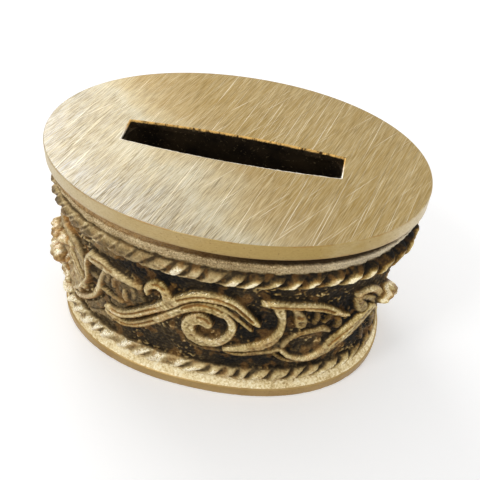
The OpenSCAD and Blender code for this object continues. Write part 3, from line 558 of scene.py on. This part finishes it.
# Grooves, whose floors keep an orange-brown stain
GROOVES = [
    (0.3, (56.4, 35.2, 0.5), (58.6, 36.7, 0.6), (61, 38, 0.7), (64, 38.6, 0.7), (67, 38.5, 0.6), (69.4, 37.8, 0.5)),
    (0.55, (69.4, 37.8, 0.5), (71.4, 36.6, 0.5), (73.7, 34, 0.5), (75.8, 31.6, 0.4)),
    (0.3, (57.6, 32.4, 0.4), (60.4, 34.5, 0.6), (63.2, 35.4, 0.7), (66, 35.1, 0.6), (68, 34.2, 0.4)),
    (0.35, (36.6, 21, 0.4), (40, 21.2, 0.5), (43.4, 23.3, 0.4), (47, 26.4, 0.4), (50.6, 29.6, 0.4)),
    (0.3, (38, 17.4, 0.4), (42, 17.8, 0.4), (46, 20.4, 0.4), (50, 24, 0.4)),
    (0.35, (52.6, 37.9, 0.7), (51.2, 38.6, 0.7), (49.8, 38.5, 0.5)),
    (0.3, (62, 30.4, 0.7), (63.8, 29.9, 0.7), (65, 28.6, 0.6)),
    (0.35, (80, 37.8, 0.6), (82.6, 37.6, 0.6), (86, 37.2, 0.5), (90, 36.6, 0.6), (93.6, 35.4, 0.7),
        (96.6, 33.4, 0.5)),
    (0.35, (87.4, 33, 0.7), (88.4, 32.6, 0.7)),
    (0.35, (97.6, 19.2, 0.6), (99.4, 20.8, 0.9), (101.4, 22.6, 0.8), (103.6, 24.2, 0.5)),
    (0.4, (104.6, 36.4, 0.7), (107, 35.8, 0.6), (109.4, 34, 0.4)),
    (0.3, (31, 36.6, 0.5), (34, 37, 0.5), (37.4, 36.2, 0.4)),
    (0.5, (17, 36.2, 0.7), (20.8, 33.6, 0.9), (24, 30.4, 0.8), (26, 27, 0.5)),
    (0.45, (15, 34.8, 0.5), (19, 32.2, 0.5), (22.6, 29, 0.6), (25, 25.6, 0.4)),
    (0.5, (12, 32.6, 0.6), (16, 29.8, 0.8), (19.6, 26.4, 0.8), (22.6, 22.6, 0.5)),
    (0.35, (15.4, 28.2, 0.4), (18.4, 25.2, 0.5), (21, 22, 0.4)),
    (0.5, (8, 28, 0.6), (12.4, 24.8, 0.7), (16.2, 21.4, 0.7), (19, 18, 0.4)),
    (0.35, (12, 21.4, 0.4), (15, 18.6, 0.5), (17.4, 16, 0.4)),
    (0.6, (14.6, 38.6, 0.6), (18, 38.9, 0.9), (22, 38.6, 1.0), (25.6, 37.4, 0.8), (27.6, 35, 0.5)),
    (0.3, (73, 18, 0.5), (77, 18.9, 0.6), (81, 20, 0.5)),
]
# Soft patches of patina: place, reach along and up the wall, and how much darker or paler
PATCHES = [
    (40, 39.3, 9, 2.0, 0.75), (46, 41.6, 3.4, 3.2, 1.0), (54.6, 41, 3.6, 3.4, 0.9), (66, 41.8, 12, 2.0, 0.6),
    (29.6, 32.4, 1.8, 2.2, 0.9), (30.2, 26.2, 1.8, 1.8, 0.5), (28.6, 22, 2.2, 3.2, 0.7), (34.8, 24, 2.2, 2.0, 0.8),
    (35.8, 28.6, 1.8, 1.6, 0.8), (42.6, 14.6, 4.0, 2.6, 0.6), (24.6, 38.4, 2.0, 1.4, 0.6), (52, 20, 6, 6, -0.45),
    (87, 27.4, 3.4, 2.4, -0.4), (91, 21, 5.0, 3.6, -0.5), (64, 24.2, 2.4, 3.0, -0.4), (78, 28, 5, 6, 0.7),
    (92, 32, 10, 4.6, 0.8), (74, 14.4, 12, 2.6, 0.9), (60, 41.4, 9, 2.6, -0.6), (26, 15, 9, 5, -0.9),
    (39, 30, 7, 5, -0.5), (104, 29, 4, 9, 0.6), (108, 16, 4, 6, 0.6),
]

STROKE_STEP = 0.35


def smooth_line(points):
    """Catmull-Rom curve through a stroke's points."""
    p = np.asarray(points, dtype=float)
    p = np.vstack([2 * p[0] - p[1], p, 2 * p[-1] - p[-2]])
    line = []
    for a, b, c, d in zip(p, p[1:], p[2:], p[3:]):
        pieces = max(2, math.ceil(np.linalg.norm((c - b)[:2]) / STROKE_STEP))
        t = (np.arange(pieces) / pieces)[:, None]
        line.append(0.5 * (2 * b + (c - a) * t + (2 * a - 5 * b + 4 * c - d) * t ** 2
                           + (d - a + 3 * (b - c)) * t ** 3))
    return np.vstack(line + [p[-2:-1]])


def ease(value, low, high):
    """Smooth step from 0 at low to 1 at high."""
    t = np.clip((value - low) / (high - low), 0, 1)
    return t * t * (3 - 2 * t)


def blend(a, b, share):
    return a + share * (b - a)


# ---- Height field of the wall, over the distance round it and the height ----

CELL = 0.25
COLUMNS = int(round(PERIMETER / CELL))
FIELD_TOP = COVE_Z - COVE_H
along = np.arange(COLUMNS) * PERIMETER / COLUMNS
wall_angles = np.interp(along, arc_lengths, arc_angles)
field_rows = np.arange(WALL_Z + 0.3, FIELD_TOP, CELL)
field_s, field_z = np.meshgrid(along, field_rows)
shape = field_z.shape


def smoothed(field, fall):
    """A field that joins up round the box, without its short waves."""
    fz = np.fft.fftfreq(field.shape[0], CELL)[:, None]
    fs = np.fft.fftfreq(field.shape[1], PERIMETER / COLUMNS)[None, :]
    return np.fft.ifft2(np.fft.fft2(field) * np.exp(-fall * (fz ** 2 + fs ** 2))).real


def blurred(field, radius):
    return smoothed(field, 2 * (math.pi * radius) ** 2)


def wave_noise(shape, wavelength, seed):
    """Smooth random field with zero mean and unit spread."""
    field = smoothed(np.random.default_rng(seed).standard_normal(shape), 1.4 * wavelength ** 2)
    return (field - field.mean()) / field.std()


def stroke_depth(stroke, start):
    """The block of cells round a stroke, and how far inside its outline each of them lies."""
    line = smooth_line(stroke)
    reach = line[:, 2].max() / 2 + 1
    low, high = line.min(axis=0) - reach, line.max(axis=0) + reach
    rows = np.where((field_rows > low[1]) & (field_rows < high[1]))[0]
    columns = np.arange(math.floor((start + low[0]) / PERIMETER * COLUMNS),
                        math.ceil((start + high[0]) / PERIMETER * COLUMNS))
    s, z = np.meshgrid(columns * PERIMETER / COLUMNS - start, field_rows[rows])
    depth = np.full(s.shape, -1e3)
    for line_s, line_z, width in line:
        depth = np.maximum(depth, width / 2 - np.hypot(s - line_s, z - line_z))
    return np.ix_(rows, np.mod(columns, COLUMNS)), depth


def rope_height(z_middle, swell, curl, fall, stray, low, fill, seed):
    """Twisted strands round the box, as a height over the field, a 0 to 1 crest mask and their place.

    curl bends the strands' lower ends, fall is the share of a strand over which it drops to the next one, stray
    moves them at random, low is the height between them, and fill adds to it towards the worn left end.
    """
    up = (field_z - z_middle) / (ROPE_H / 2)
    inside = np.abs(up) < 1
    ends = np.cos(np.radians(wall_angles))
    depth = ROPE_DEPTH + np.where(ends > 0, swell[1], swell[0]) * np.abs(ends) ** 3
    bulge = np.sqrt(np.clip(1 - np.abs(up) ** 2.6, 0, 1))
    bulge = np.maximum(bulge, 0.64 * fill * upper_worn_and_lit * (up > 0))
    sweep = ROPE_SLANT * up - curl * np.clip(-up - 0.1, 0, None) ** 2
    phase = field_s / PERIMETER * ROPE_CRESTS - sweep + stray * wave_noise(shape, 7.0, seed)
    strand = 1 - ease(np.abs(2 * (phase % 1) - 1), 1 - fall, 1)
    strand *= 0.92 + 0.08 * wave_noise(shape, 4.0, seed + 1)
    low = low + fill * filled
    return np.where(inside, depth * bulge * (low + (1 - low) * strand), 0), strand * bulge, inside


# Where a cell lies, as 0 to 1 masks: the photo shows the left worn and filled, and the right deep and dark
round_s = np.minimum(field_s, PERIMETER - field_s)  # from the left end, the shorter way round
# The left-end masks below make the colours paler there: wear, and painted light
leftness = 1 - ease(round_s, 26, 50)
upper_worn_and_lit = 1 - ease(round_s, 34, 58)
lower_worn_and_lit = 1 - ease(round_s, 45, 85)
neck_worn_and_lit = 1 - ease(round_s[0], 30, 82)
filled = 1 - ease(round_s, 40, 92)
open_twist = ease(round_s, 55, 85)
rightness = ease(np.mod(field_s, PERIMETER / 2), 96, 114)

# The back has the front's ornament again, turned half round. A stroke is a dome over its outline and a skirt
# beyond it; thin ones have steep sides and a flat top, and cells below the least height stay the wall's
STROKE_SKIRT, SIDE_W, DOME_POWER, LEAST_HEIGHT = 0.42, 0.7, 2.8, 0.15
UPPER_ROPE, LOWER_ROPE = len(RELIEF_NODES) + 1, len(RELIEF_NODES) + 2
owner = np.zeros(shape, dtype=int)  # the piece that a cell belongs to: 0 is the wall
raised, groove, patch = np.zeros(shape), np.zeros(shape), np.zeros(shape)
for index, name in enumerate(RELIEF_NODES, start=1):
    side, part = name.split("_", 1)
    for share, *stroke in MOTIF[part]:
        block, depth = stroke_depth(stroke, 0 if side == "front" else PERIMETER / 2)
        half = max(point[2] for point in stroke) / 2
        slope = min(half, SIDE_W) if share <= 1 else 0.9 * half
        dome = 1 - np.clip(1 - (depth + STROKE_SKIRT) / (slope + 0.3), 0, 1) ** DOME_POWER
        height = RELIEF_H * share * dome
        owner[block] = np.where((height > raised[block]) & (height > LEAST_HEIGHT), index, owner[block])
        raised[block] = np.maximum(raised[block], height)
for start in (0, PERIMETER / 2):
    for share, *stroke in GROOVES:
        block, depth = stroke_depth(stroke, start)
        groove[block] = np.maximum(groove[block], share * ease(depth, -0.35, 0.3))
    for place_s, place_z, reach_s, reach_z, dark in PATCHES:
        across = np.mod(field_s - start - place_s + PERIMETER / 2, PERIMETER) - PERIMETER / 2
        patch += dark * np.exp(-(across / reach_s) ** 2 - ((field_z - place_z) / reach_z) ** 2)
webs = RELIEF_H * 0.5 * ease(blurred(np.minimum(raised / RELIEF_H, 1), 0.55), 0.42, 0.62)
raised = np.where(owner > 0, np.maximum(raised, webs), raised)
raised -= groove * np.minimum(raised, RELIEF_H)

upper_height, upper_crest, is_upper = rope_height(
    ROPE_TOP_Z, UPPER_SWELL, curl=0.62, fall=0.58 * (1 + 0.58 * open_twist), stray=0.06,
    low=0.20, fill=0.46, seed=11)
lower_height, lower_crest, is_lower = rope_height(
    ROPE_LOW_Z, LOWER_SWELL, curl=0.15, fall=0.90 * (1 - 0.2 * open_twist - 0.2 * rightness), stray=0.16,
    low=0.44, fill=0.16, seed=14)
owner[is_upper] = UPPER_ROPE
owner[is_lower] = LOWER_ROPE
is_rope = is_upper | is_lower

# The cast skin: fine grain everywhere, stipple and lumps on the bare field, rough tips on the end leaves
field_only = 1 - ease(raised, 0.1, 0.8)
lobed = ease(raised, RELIEF_H, RELIEF_H * 1.3)
stipple = wave_noise(shape, 0.95, 2)
surface = np.where(is_rope, np.maximum(upper_height, lower_height), raised)
surface += 0.04 * wave_noise(shape, 3.5, 1) + 0.035 * wave_noise(shape, 0.6, 3)
surface += np.where(is_rope, 0.05, 0.05 + 0.10 * field_only) * stipple
surface += np.where(is_rope, 0, field_only * (0.07 + 0.16 * leftness)) * wave_noise(shape, 2.4, 4)
surface += lobed * 0.22 * wave_noise(shape, 1.5, 15)
surface = np.maximum(surface, -0.3)

# ---- Levels that steer the patina: metal that shows, hollows, bright flecks, age and stains, and painted highlights and shade ----

# Ropes: bright crests on a dark ground at the right, worn flat and pale at the left, where the paleness is also
# painted light; shade paints the upper halves of the upper rope's strands darker towards the right, as painted shadow
# under the cove
shade = 1 - 0.8 * open_twist * ease(field_z - ROPE_TOP_Z, 0.1 * ROPE_H, 0.45 * ROPE_H)
upper_level = (1 + 0.14 * open_twist) * shade * np.clip(upper_crest, 0, 1) ** (1.3 + 0.8 * rightness)
upper_level = blend(upper_level, 0.76 - 0.60 * ease(upper_crest, 0.45, 0.9), upper_worn_and_lit)
lower_level = blend(0.24 + 0.68 * lower_crest, 0.70 + 0.42 * lower_crest, lower_worn_and_lit)
rope_level = 0.87 * np.where(is_upper, upper_level, lower_level)
rope_level -= 0.2 * rightness * (1 - rope_level)
rope_age = np.where(is_upper, 0.12 + 0.72 * open_twist, 0.05 + 0.5 * ease(round_s, 40, 90)) + 0.3 * rightness
rope_stain = 0.45 - 0.35 * rightness - 0.25 * upper_worn_and_lit
rope_stain = rope_stain * ease(np.abs(wave_noise(shape, 2.2, 10)), 0.6, 1.6)

# Relief: pale where its tops are worn; rubbed is the surface two rows below and one column along, and with it the
# colour gets painted highlights on the edges that face up and painted shade, orange-brown, on those that face down
rubbed = np.roll(surface, (2, -1), axis=(0, 1))
painted_edge_highlight = np.where(owner > 0, ease(rubbed - surface, 0.2, 0.9), 0)
painted_edge_shade = np.where(owner > 0, ease(surface - rubbed, 0.25, 1.0), 0)
cast_level = 0.75 * np.clip((0.45 * surface + 0.55 * rubbed) / RELIEF_H, 0, 1) ** 1.25 + 0.24 * painted_edge_highlight
# Paler towards the left end (1 - leftness): wear and painted light; patches and random tone vary the patina
cast_age = 0.12 + 0.58 * (1 - leftness) + 0.5 * patch + 0.12 * wave_noise(shape, 7.0, 8)
cast_stain_and_edge_shade = np.clip(3.0 * groove + 0.7 * painted_edge_shade + 0.4 * ease(wave_noise(shape, 3.2, 9), 0.5, 1.6), 0, 1)
cast_stain_and_edge_shade = np.maximum(cast_stain_and_edge_shade, 0.6 * lobed * ease(wave_noise(shape, 2.0, 16), -0.6, 0.8))

relief_level = np.where(is_rope, rope_level, cast_level)
relief_level -= 0.34 * lobed * ease(wave_noise(shape, 1.8, 17), -0.6, 1.0)
# Darker in the hollows: patina that gathers there, and painted shade from each hollow's depth; a little paler on
# convex tops
cavity_level = np.clip((blurred(surface, 0.5) - surface) / 0.36, -0.25, 1)
fleck_zone = (0.2 + 0.6 * ease(wave_noise(shape, 8.0, 7), -0.8, 0.9)) * np.clip(1 - 0.35 * patch, 0.4, 1.5)
fleck_level = np.where(is_rope, 0.4, field_only) * ease(stipple, 0.2, 1.6) * fleck_zone
age_level = np.clip(np.where(is_rope, rope_age, cast_age), 0, 1)
stain_and_edge_shade_level = np.where(is_upper, rope_stain, cast_stain_and_edge_shade)


# ---- Wall, relief and ropes ----

# Above the field the wall goes on: the cove band, then its lip, the neck and the seat under the lid
cove_rise = np.linspace(0, 1, 20)[1:]
cove_z = FIELD_TOP + (COVE_H - 0.3) * cove_rise
cove_inset = blend(COVE_INSET, LIP_INSET, ease(cove_rise, 0.25, 1.0))
neck = [(COVE_Z - 0.1, 1.15), (COVE_Z, 1.35), (COVE_Z, 2.0), (COVE_Z, NECK_INSET), (LID_Z - 0.2, NECK_INSET),
        (LID_Z, 3.1), (LID_Z, INNER_INSET)]
neck_rows = slice(len(cove_z) + 2, len(cove_z) + 6)
tail_z, tail_inset = np.vstack([np.column_stack([cove_z, cove_inset]), neck]).T
inner_z = np.linspace(LID_Z, WALL_Z, 24)
tail_shape = (len(tail_z), COLUMNS)
tail_noise = 0.09 * wave_noise(tail_shape, 0.8, 5) + 0.08 * wave_noise(tail_shape, 2.4, 6)
tail_noise[-4:] = 0
tail_insets = np.repeat(tail_inset[:, None], COLUMNS, axis=1)
tail_insets[neck_rows] = blend(
    tail_insets[neck_rows], np.minimum(tail_insets[neck_rows], WORN_NECK_INSET), neck_worn_and_lit)


def wall_rows(z_values, insets):
    """One row of wall points for each height."""
    return wall_point(wall_angles[None, :], np.asarray(z_values)[:, None], insets)


points = np.concatenate([
    wall_rows(field_rows, FIELD_INSET - surface),
    wall_rows(tail_z, tail_insets - tail_noise),
    wall_rows(inner_z, INNER_INSET),
]).reshape(-1, 3)
faces = grid_faces(len(points) // COLUMNS, COLUMNS, closed=True)
point_owner = np.concatenate([owner.ravel(), np.zeros(len(points) - owner.size, dtype=int)])


def on_wall(field, cove, neck_values, inside, worn_and_lit_neck):
    """A level for each wall point: of the field, the cove, each neck row, the inside and the neck at the left end,
    which is worn and painted paler as painted light.
    """
    tail = np.repeat(np.r_[cove + 0 * cove_z, neck_values][:, None], COLUMNS, axis=1)
    tail[neck_rows] = blend(tail[neck_rows], worn_and_lit_neck, neck_worn_and_lit)
    return np.concatenate([field.ravel(), tail.ravel(), np.full(len(inner_z) * COLUMNS, inside)])


# The last value of each is for the neck at the left end, painted paler under the lid's overhang as painted light, and
# stained red-brown
levels = {
    "relief": on_wall(relief_level, 0.4, [0.5, 0.4, 0.04, 0, 0, 0, 0], 0.1, 0.38),
    "cavity": on_wall(cavity_level, 0, [0] * len(neck), 0, 0),
    "fleck": on_wall(fleck_level, 0, [0] * len(neck), 0.2, 0),
    "age": on_wall(age_level, 0.2, [0.3, 0.5, 0.8, 0.9, 0.9, 1, 1], 1, 0.15),
    "stain": on_wall(stain_and_edge_shade_level, 0, [0, 0, 0.1, 0.1, 0.2, 0.2, 0.2], 0, 1.2),
    "cove": on_wall(0 * field_z, ease(cove_rise, 0, 0.2), [1, 0.9, 0.1, 0, 0, 0, 0], 0, 0.42),
}


def piece_of_skin(name, owner_index, node):
    """The faces of the wall whose highest-numbered corner is one owner's, as a piece of their own."""
    used, corners = np.unique(faces[point_owner[faces].max(axis=1) == owner_index], return_inverse=True)
    obj = new_object(name, points[used], corners.reshape(-1, 4))
    for level, values in levels.items():
        attribute = obj.data.attributes.new(level, "FLOAT", "POINT")
        attribute.data.foreach_set("value", values[used].astype(np.float32))
    dress(obj, "box", "cast_brass", node)


def lug(angle, seat_z, low, high):
    """Screw lug inside the wall, with softened edges."""
    x, y, _ = wall_point(angle, seat_z, LUG_INSET)
    soft, mid = 0.3, 0.08
    return turned([
        (LUG_BORE, low), (LUG_R - soft, low), (LUG_R - mid, low + mid), (LUG_R, low + soft),
        (LUG_R, high - soft), (LUG_R - mid, high - mid), (LUG_R - soft, high), (LUG_BORE, high)], x, y)


piece_of_skin("cast_wall", 0, "body_shell")
lugs = [lug(a, LID_Z, LID_Z - UPPER_LUG_H, LID_Z) for a in LUG_ANGLES]
lugs += [lug(a, WALL_Z, WALL_Z, WALL_Z + LOWER_LUG_H) for a in LUG_ANGLES]
dress(joined("wall_lugs", lugs), "box", "dark_brass")
for index, name in enumerate(RELIEF_NODES, start=1):
    piece_of_skin("cast_" + name, index, name)
piece_of_skin("twisted_upper_rope", UPPER_ROPE, "upper_rope")
piece_of_skin("twisted_lower_rope", LOWER_ROPE, "lower_rope")


# ---- Lid plate ----

LID_POINTS = 960
SLOT_FAN = 1.9  # spreads the slot's points so that they lie opposite the plate's
lid_angles = np.arange(LID_POINTS) / LID_POINTS * 360


def slot_outline(count, grow, z, ragged, seed):
    """Points round the slot's outline, anticlockwise from its left end, with rounded corners and burrs."""
    half_l, half_w = SLOT_L / 2 + grow, SLOT_W / 2 + grow
    t, u = np.linspace(-1, 1, 200), np.linspace(-1, 1, 60)[1:-1]
    bow = half_w + SLOT_BOW * (1 - t * t)
    sides = [(half_l * t, -bow), (half_l + 0 * u, half_w * u), (-half_l * t, bow), (-half_l + 0 * u, -half_w * u)]
    dense = np.vstack([np.column_stack(side) for side in sides])
    closed = np.vstack([dense, dense[:1]])
    lengths = np.concatenate([[0], np.cumsum(np.linalg.norm(np.diff(closed, axis=0), axis=1))])
    places = np.arange(count) / count * lengths[-1]
    line = np.stack([np.interp(places, lengths, closed[:, k]) for k in (0, 1)], axis=-1)
    for _ in range(int(SLOT_CORNER / (lengths[-1] / count)) + 1):
        line = (np.roll(line, 1, axis=0) + 2 * line + np.roll(line, -1, axis=0)) / 4
    jitter = np.random.default_rng(seed).standard_normal(count)
    jitter = (jitter + np.roll(jitter, 1) + np.roll(jitter, 2)) / 1.8
    line = line + ragged * jitter[:, None] * np.sign(line) * [0.2, 1.0]
    return np.column_stack([line, np.full(count, z)])


def slot_ring(grow, z, ragged, seed):
    """The outline's points that lie opposite the plate's edge points."""
    loop = slot_outline(LID_POINTS * 4, grow, z, ragged, seed)
    facing = np.mod(np.degrees(np.arctan2(loop[:, 1] * BOX_L / BOX_W * SLOT_FAN, loop[:, 0])), 360)
    order = np.argsort(facing)
    picked = np.searchsorted(facing[order], lid_angles) % len(order)
    return loop[order[picked]] + [SLOT_SHIFT, 0, 0]


def edge_ring(z, inset):
    return wall_point(lid_angles, BOX_H, inset) + [0, 0, z - BOX_H]


def lid_piece():
    """Rings from the throat up through the slot, over the top, down the side and in under the plate."""
    rings = [
        slot_ring(0.02, THROAT_TOP, 0.0, 1), slot_ring(0.0, BOX_H - 0.9, 0.03, 2),
        slot_ring(0.02, BOX_H - 0.42, 0.10, 3), slot_ring(0.16, BOX_H - 0.14, 0.09, 4),
        slot_ring(0.30, BOX_H - 0.02, 0.06, 5), slot_ring(0.45, BOX_H, 0.03, 6), slot_ring(0.9, BOX_H, 0.0, 7)]
    rings += [edge_ring(z, inset) for z, inset in (
        (BOX_H, 0.62), (BOX_H, 0.34), (BOX_H - 0.05, 0.16), (BOX_H - 0.16, 0.05), (BOX_H - 0.36, 0.0),
        (BOX_H - 1.6, 0.0), (LID_Z + 1.4, 0.0), (LID_Z + 0.3, 0.0), (LID_Z + 0.08, 0.1), (LID_Z, 0.4), (LID_Z, 6.2))]
    obj = new_object("brushed_lid_plate", np.concatenate(rings), grid_faces(len(rings), LID_POINTS))
    dress(obj, "box", "lid_brass", "lid_plate", finishes=["lid_brass", "lid_band", "slot_edge", "dark_brass"])
    # The slot's two wall rings take the dark patina, which also paints the shade inside the slot
    paint_rings(obj, [3] * 2 + [2] * 3 + [0] * 4 + [1] * 8, LID_POINTS)


# ---- Foot rim ----

def rim_piece():
    """Smooth rim, the sloping cast ledge above it, the seat for the wall and the inner face."""
    profile = [
        (0.0, INNER_INSET), (0.0, 0.7), (0.05, 0.3), (0.2, 0.06), (0.5, 0.0), (1.4, 0.0), (2.4, 0.0),
        (RIM_H - RIM_STEP, 0.0), (RIM_H - 0.18, 0.05), (RIM_H - 0.04, 0.2), (RIM_H, RIM_STEP)]
    profile += [(blend(RIM_H, RIM_TOP, t), blend(RIM_STEP, LEDGE_INSET, t)) for t in np.linspace(0, 1, 9)[1:]]
    profile += [(RIM_TOP, FIELD_INSET - SEAT_GAP), (FLOOR_Z, FIELD_INSET - SEAT_GAP), (FLOOR_Z, INNER_INSET),
                (0.0, INNER_INSET)]
    z, inset = np.array(profile).T
    noise = 0.03 * wave_noise((len(z), COLUMNS), 2.2, 21) + 0.02 * wave_noise((len(z), COLUMNS), 0.7, 22)
    noise[11:19] *= 3.0  # the ledge is the roughest
    noise[:2] = 0
    noise[-4:] = 0
    ring = wall_rows(z, inset[:, None] + np.abs(noise))
    obj = new_object("foot_rim_moulding", ring.reshape(-1, 3), grid_faces(len(z), COLUMNS))
    dress(obj, "box", "rim_brass", "foot_rim", finishes=["rim_brass", "ledge"])
    paint_rings(obj, [0] * 10 + [1] * 8 + [0] * 4, COLUMNS)


def ear(angle):
    """Ear inside the rim, with the pocket for its screw's head."""
    x, y, _ = wall_point(angle, WALL_Z, LUG_INSET)
    low = FLOOR_Z - EAR_H
    pocket = low + SCREW_POCKET_H
    return turned([
        (SCREW_POCKET_R, low), (LUG_R - 0.2, low), (LUG_R, low + 0.2), (LUG_R, FLOOR_Z), (LUG_BORE, FLOOR_Z),
        (LUG_BORE, pocket), (SCREW_POCKET_R, pocket)], x, y)


lid_piece()
rim_piece()
dress(joined("rim_ears", [ear(a) for a in LUG_ANGLES]), "box", "rim_brass")


# ---- Floor, hinge, door and lock: the solids' own shapes, with softened edges and driver slots ----

def cut_away(obj, boxes):
    """Takes boxes, each a place, a turn in degrees and a size in millimetres, out of a piece."""
    corners = [(x, y, z) for x in (-0.5, 0.5) for y in (-0.5, 0.5) for z in (-0.5, 0.5)]
    sides = [(0, 1, 3, 2), (4, 6, 7, 5), (0, 4, 5, 1), (2, 3, 7, 6), (0, 2, 6, 4), (1, 5, 7, 3)]
    parts = []
    for place, turn, size in boxes:
        spin = Matrix.Rotation(math.radians(turn), 3, "Z")
        parts.append(([list(spin @ Vector([c * s for c, s in zip(corner, size)]) + Vector(place))
                       for corner in corners], sides))
    cutter = joined("cutter", parts)
    modifier = obj.modifiers.new("cut", "BOOLEAN")
    modifier.operation = "DIFFERENCE"
    modifier.solver = "EXACT"
    modifier.object = cutter
    obj.data = bpy.data.meshes.new_from_object(obj.evaluated_get(bpy.context.evaluated_depsgraph_get()))
    obj.modifiers.clear()
    bpy.data.objects.remove(cutter)


WELD, FLAT_ANGLE, SHARP_ANGLE, CREASE_ANGLE = 0.002, 0.5, 35, 28


def softened(node, name, body, slot, radius, boxes=(), finishes=()):
    """A copy of a node's solid with edges rounded by a radius, less some boxes, which stands for the node."""
    obj = bpy.data.objects.new(name, frame["nodes"][node].data.copy())
    bpy.context.scene.collection.objects.link(obj)
    if boxes:
        cut_away(obj, boxes)
    mesh = bmesh.new()
    mesh.from_mesh(obj.data)
    bmesh.ops.remove_doubles(mesh, verts=mesh.verts, dist=WELD * MM)
    bmesh.ops.dissolve_limit(mesh, angle_limit=math.radians(FLAT_ANGLE), verts=mesh.verts, edges=mesh.edges)
    sharp = [e for e in mesh.edges if len(e.link_faces) == 2 and e.calc_face_angle(0) > math.radians(SHARP_ANGLE)]
    bmesh.ops.bevel(mesh, geom=sharp, offset=radius * MM, offset_type="OFFSET", segments=2, profile=0.5,
                    affect="EDGES", clamp_overlap=True)
    bmesh.ops.triangulate(mesh, faces=[f for f in mesh.faces if len(f.verts) > 4])
    mesh.to_mesh(obj.data)
    mesh.free()
    obj.data.polygons.foreach_set("use_smooth", [True] * len(obj.data.polygons))
    obj.data.set_sharp_from_angle(angle=math.radians(CREASE_ANGLE))
    dress(obj, body, slot, node, finishes=finishes)


def driver_slots(head_z, depth, seat_z, turns):
    """Slots across the heads of the screws at the lugs."""
    boxes = []
    for angle, turn in zip(LUG_ANGLES, turns):
        x, y, _ = wall_point(angle, seat_z, LUG_INSET)
        boxes.append(((x, y, head_z), turn, (DRIVER_L, DRIVER_W, 2 * depth)))
    return boxes


cam_slot = [((LOCK_X, 0, span("cam_screw", 2)[1]), 40, (DRIVER_L, DRIVER_W, 1.0))]
lid_slots = driver_slots(span("lid_screws", 2)[0], 0.6, LID_Z, (20, 75, 110, 160))
floor_slots = driver_slots(span("floor_screws", 2)[0], 0.5, WALL_Z, (65, 130, 10, 95))
# The throat takes the dark patina too, which also paints the shade down inside the slot
for slot in frame["nodes"]["slot_throat"].material_slots:
    slot.material = FINISHES["dark_brass"]

softened("floor_plate", "cast_floor", "box", "cast_brass", 0.2, finishes=["dark_brass"])
softened("hinge_fixed_leaf", "fixed_leaf", "box", "dark_brass", 0.12)
softened("hinge_door_leaf", "door_leaf", "door", "dark_brass", 0.12)
softened("door_plate", "emptying_door", "door", "dark_brass", 0.25)
softened("lock_barrel", "turned_barrel", "door", "lock_brass", 0.15)
softened("lock_plug", "turned_plug", "lock", "lock_brass", 0.08)
softened("lock_nut", "hexagon_nut", "door", "steel", 0.15)
softened("lock_cam", "pressed_cam", "lock", "steel", 0.12)
softened("cam_screw", "cam_fixing", "lock", "steel", 0.15, cam_slot)
softened("hinge_pin", "plain_pin", "box", "steel", 0.15)
softened("fixed_rivets", "leaf_rivets", "box", "steel", 0.18)
softened("door_rivets", "door_leaf_rivets", "door", "steel", 0.18)
softened("lid_screws", "slotted_lid_screws", "box", "steel", 0.2, lid_slots)
softened("floor_screws", "slotted_floor_screws", "box", "steel", 0.15, floor_slots)


# ---- Floor, light and camera ----

FLOOR_HALF = 1500
PHOTO_PIXELS, FOCAL_PIXELS, SENSOR = 480, 752.31, 36


def floor():
    corners = [(x * FLOOR_HALF, y * FLOOR_HALF, 0) for x, y in ((-1, -1), (1, -1), (1, 1), (-1, 1))]
    obj = new_object("floor", corners, [(0, 1, 2, 3)])
    n = Nodes("floor_paper")
    obj.data.materials.append(n.shade({
        "Base Color": (0.93, 0.93, 0.93), "Roughness": 0.9, "Emission Color": (1, 1, 1),
        "Emission Strength": n.range(n.seen_directly(), 0, 1, 0.0, 0.23)}))


def world():
    """White surroundings, which light the object less than they show."""
    n = Nodes("studio", world=True)
    bpy.context.scene.world = n.shade({
        "Color": (1, 1, 1), "Strength": n.range(n.seen_directly(), 0, 1, 0.70, 1.0)})


def area_light(name, place, aim, size, power):
    """Square lamp; place, aim and size in metres, power in watts."""
    data = bpy.data.lights.new(name, "AREA")
    data.size = size
    data.energy = power
    obj = bpy.data.objects.new(name, data)
    obj.location = Vector(place)
    obj.rotation_euler = (Vector(aim) - Vector(place)).to_track_quat("-Z", "Y").to_euler()
    bpy.context.scene.collection.objects.link(obj)


def camera():
    """Camera found by fitting the lid's oval, the slot and the foot; places in millimetres."""
    place = Vector((25.82, -149.823, 180.292)) * MM
    forward = Vector((-0.104517, 0.699340, -0.707107))
    right = Vector((0.976729, 0.206075, 0.059442))
    data = bpy.data.cameras.new("camera")
    data.sensor_width = SENSOR
    data.lens = FOCAL_PIXELS / PHOTO_PIXELS * SENSOR
    data.clip_start = 0.01
    obj = bpy.data.objects.new("camera", data)
    turn = Matrix((right, right.cross(forward), -forward)).transposed().to_4x4()
    obj.matrix_world = Matrix.Translation(place) @ turn
    bpy.context.scene.collection.objects.link(obj)
    bpy.context.scene.camera = obj


floor()
world()
area_light("key", (-0.34, 0.36, 0.40), (-0.03, 0, 0.05), 0.30, 0.95)
area_light("glint", (-0.16, -0.22, 0.42), (0, -0.03, 0.03), 0.08, 0.30)
camera()
bpy.context.scene.view_settings.view_transform = "Standard"
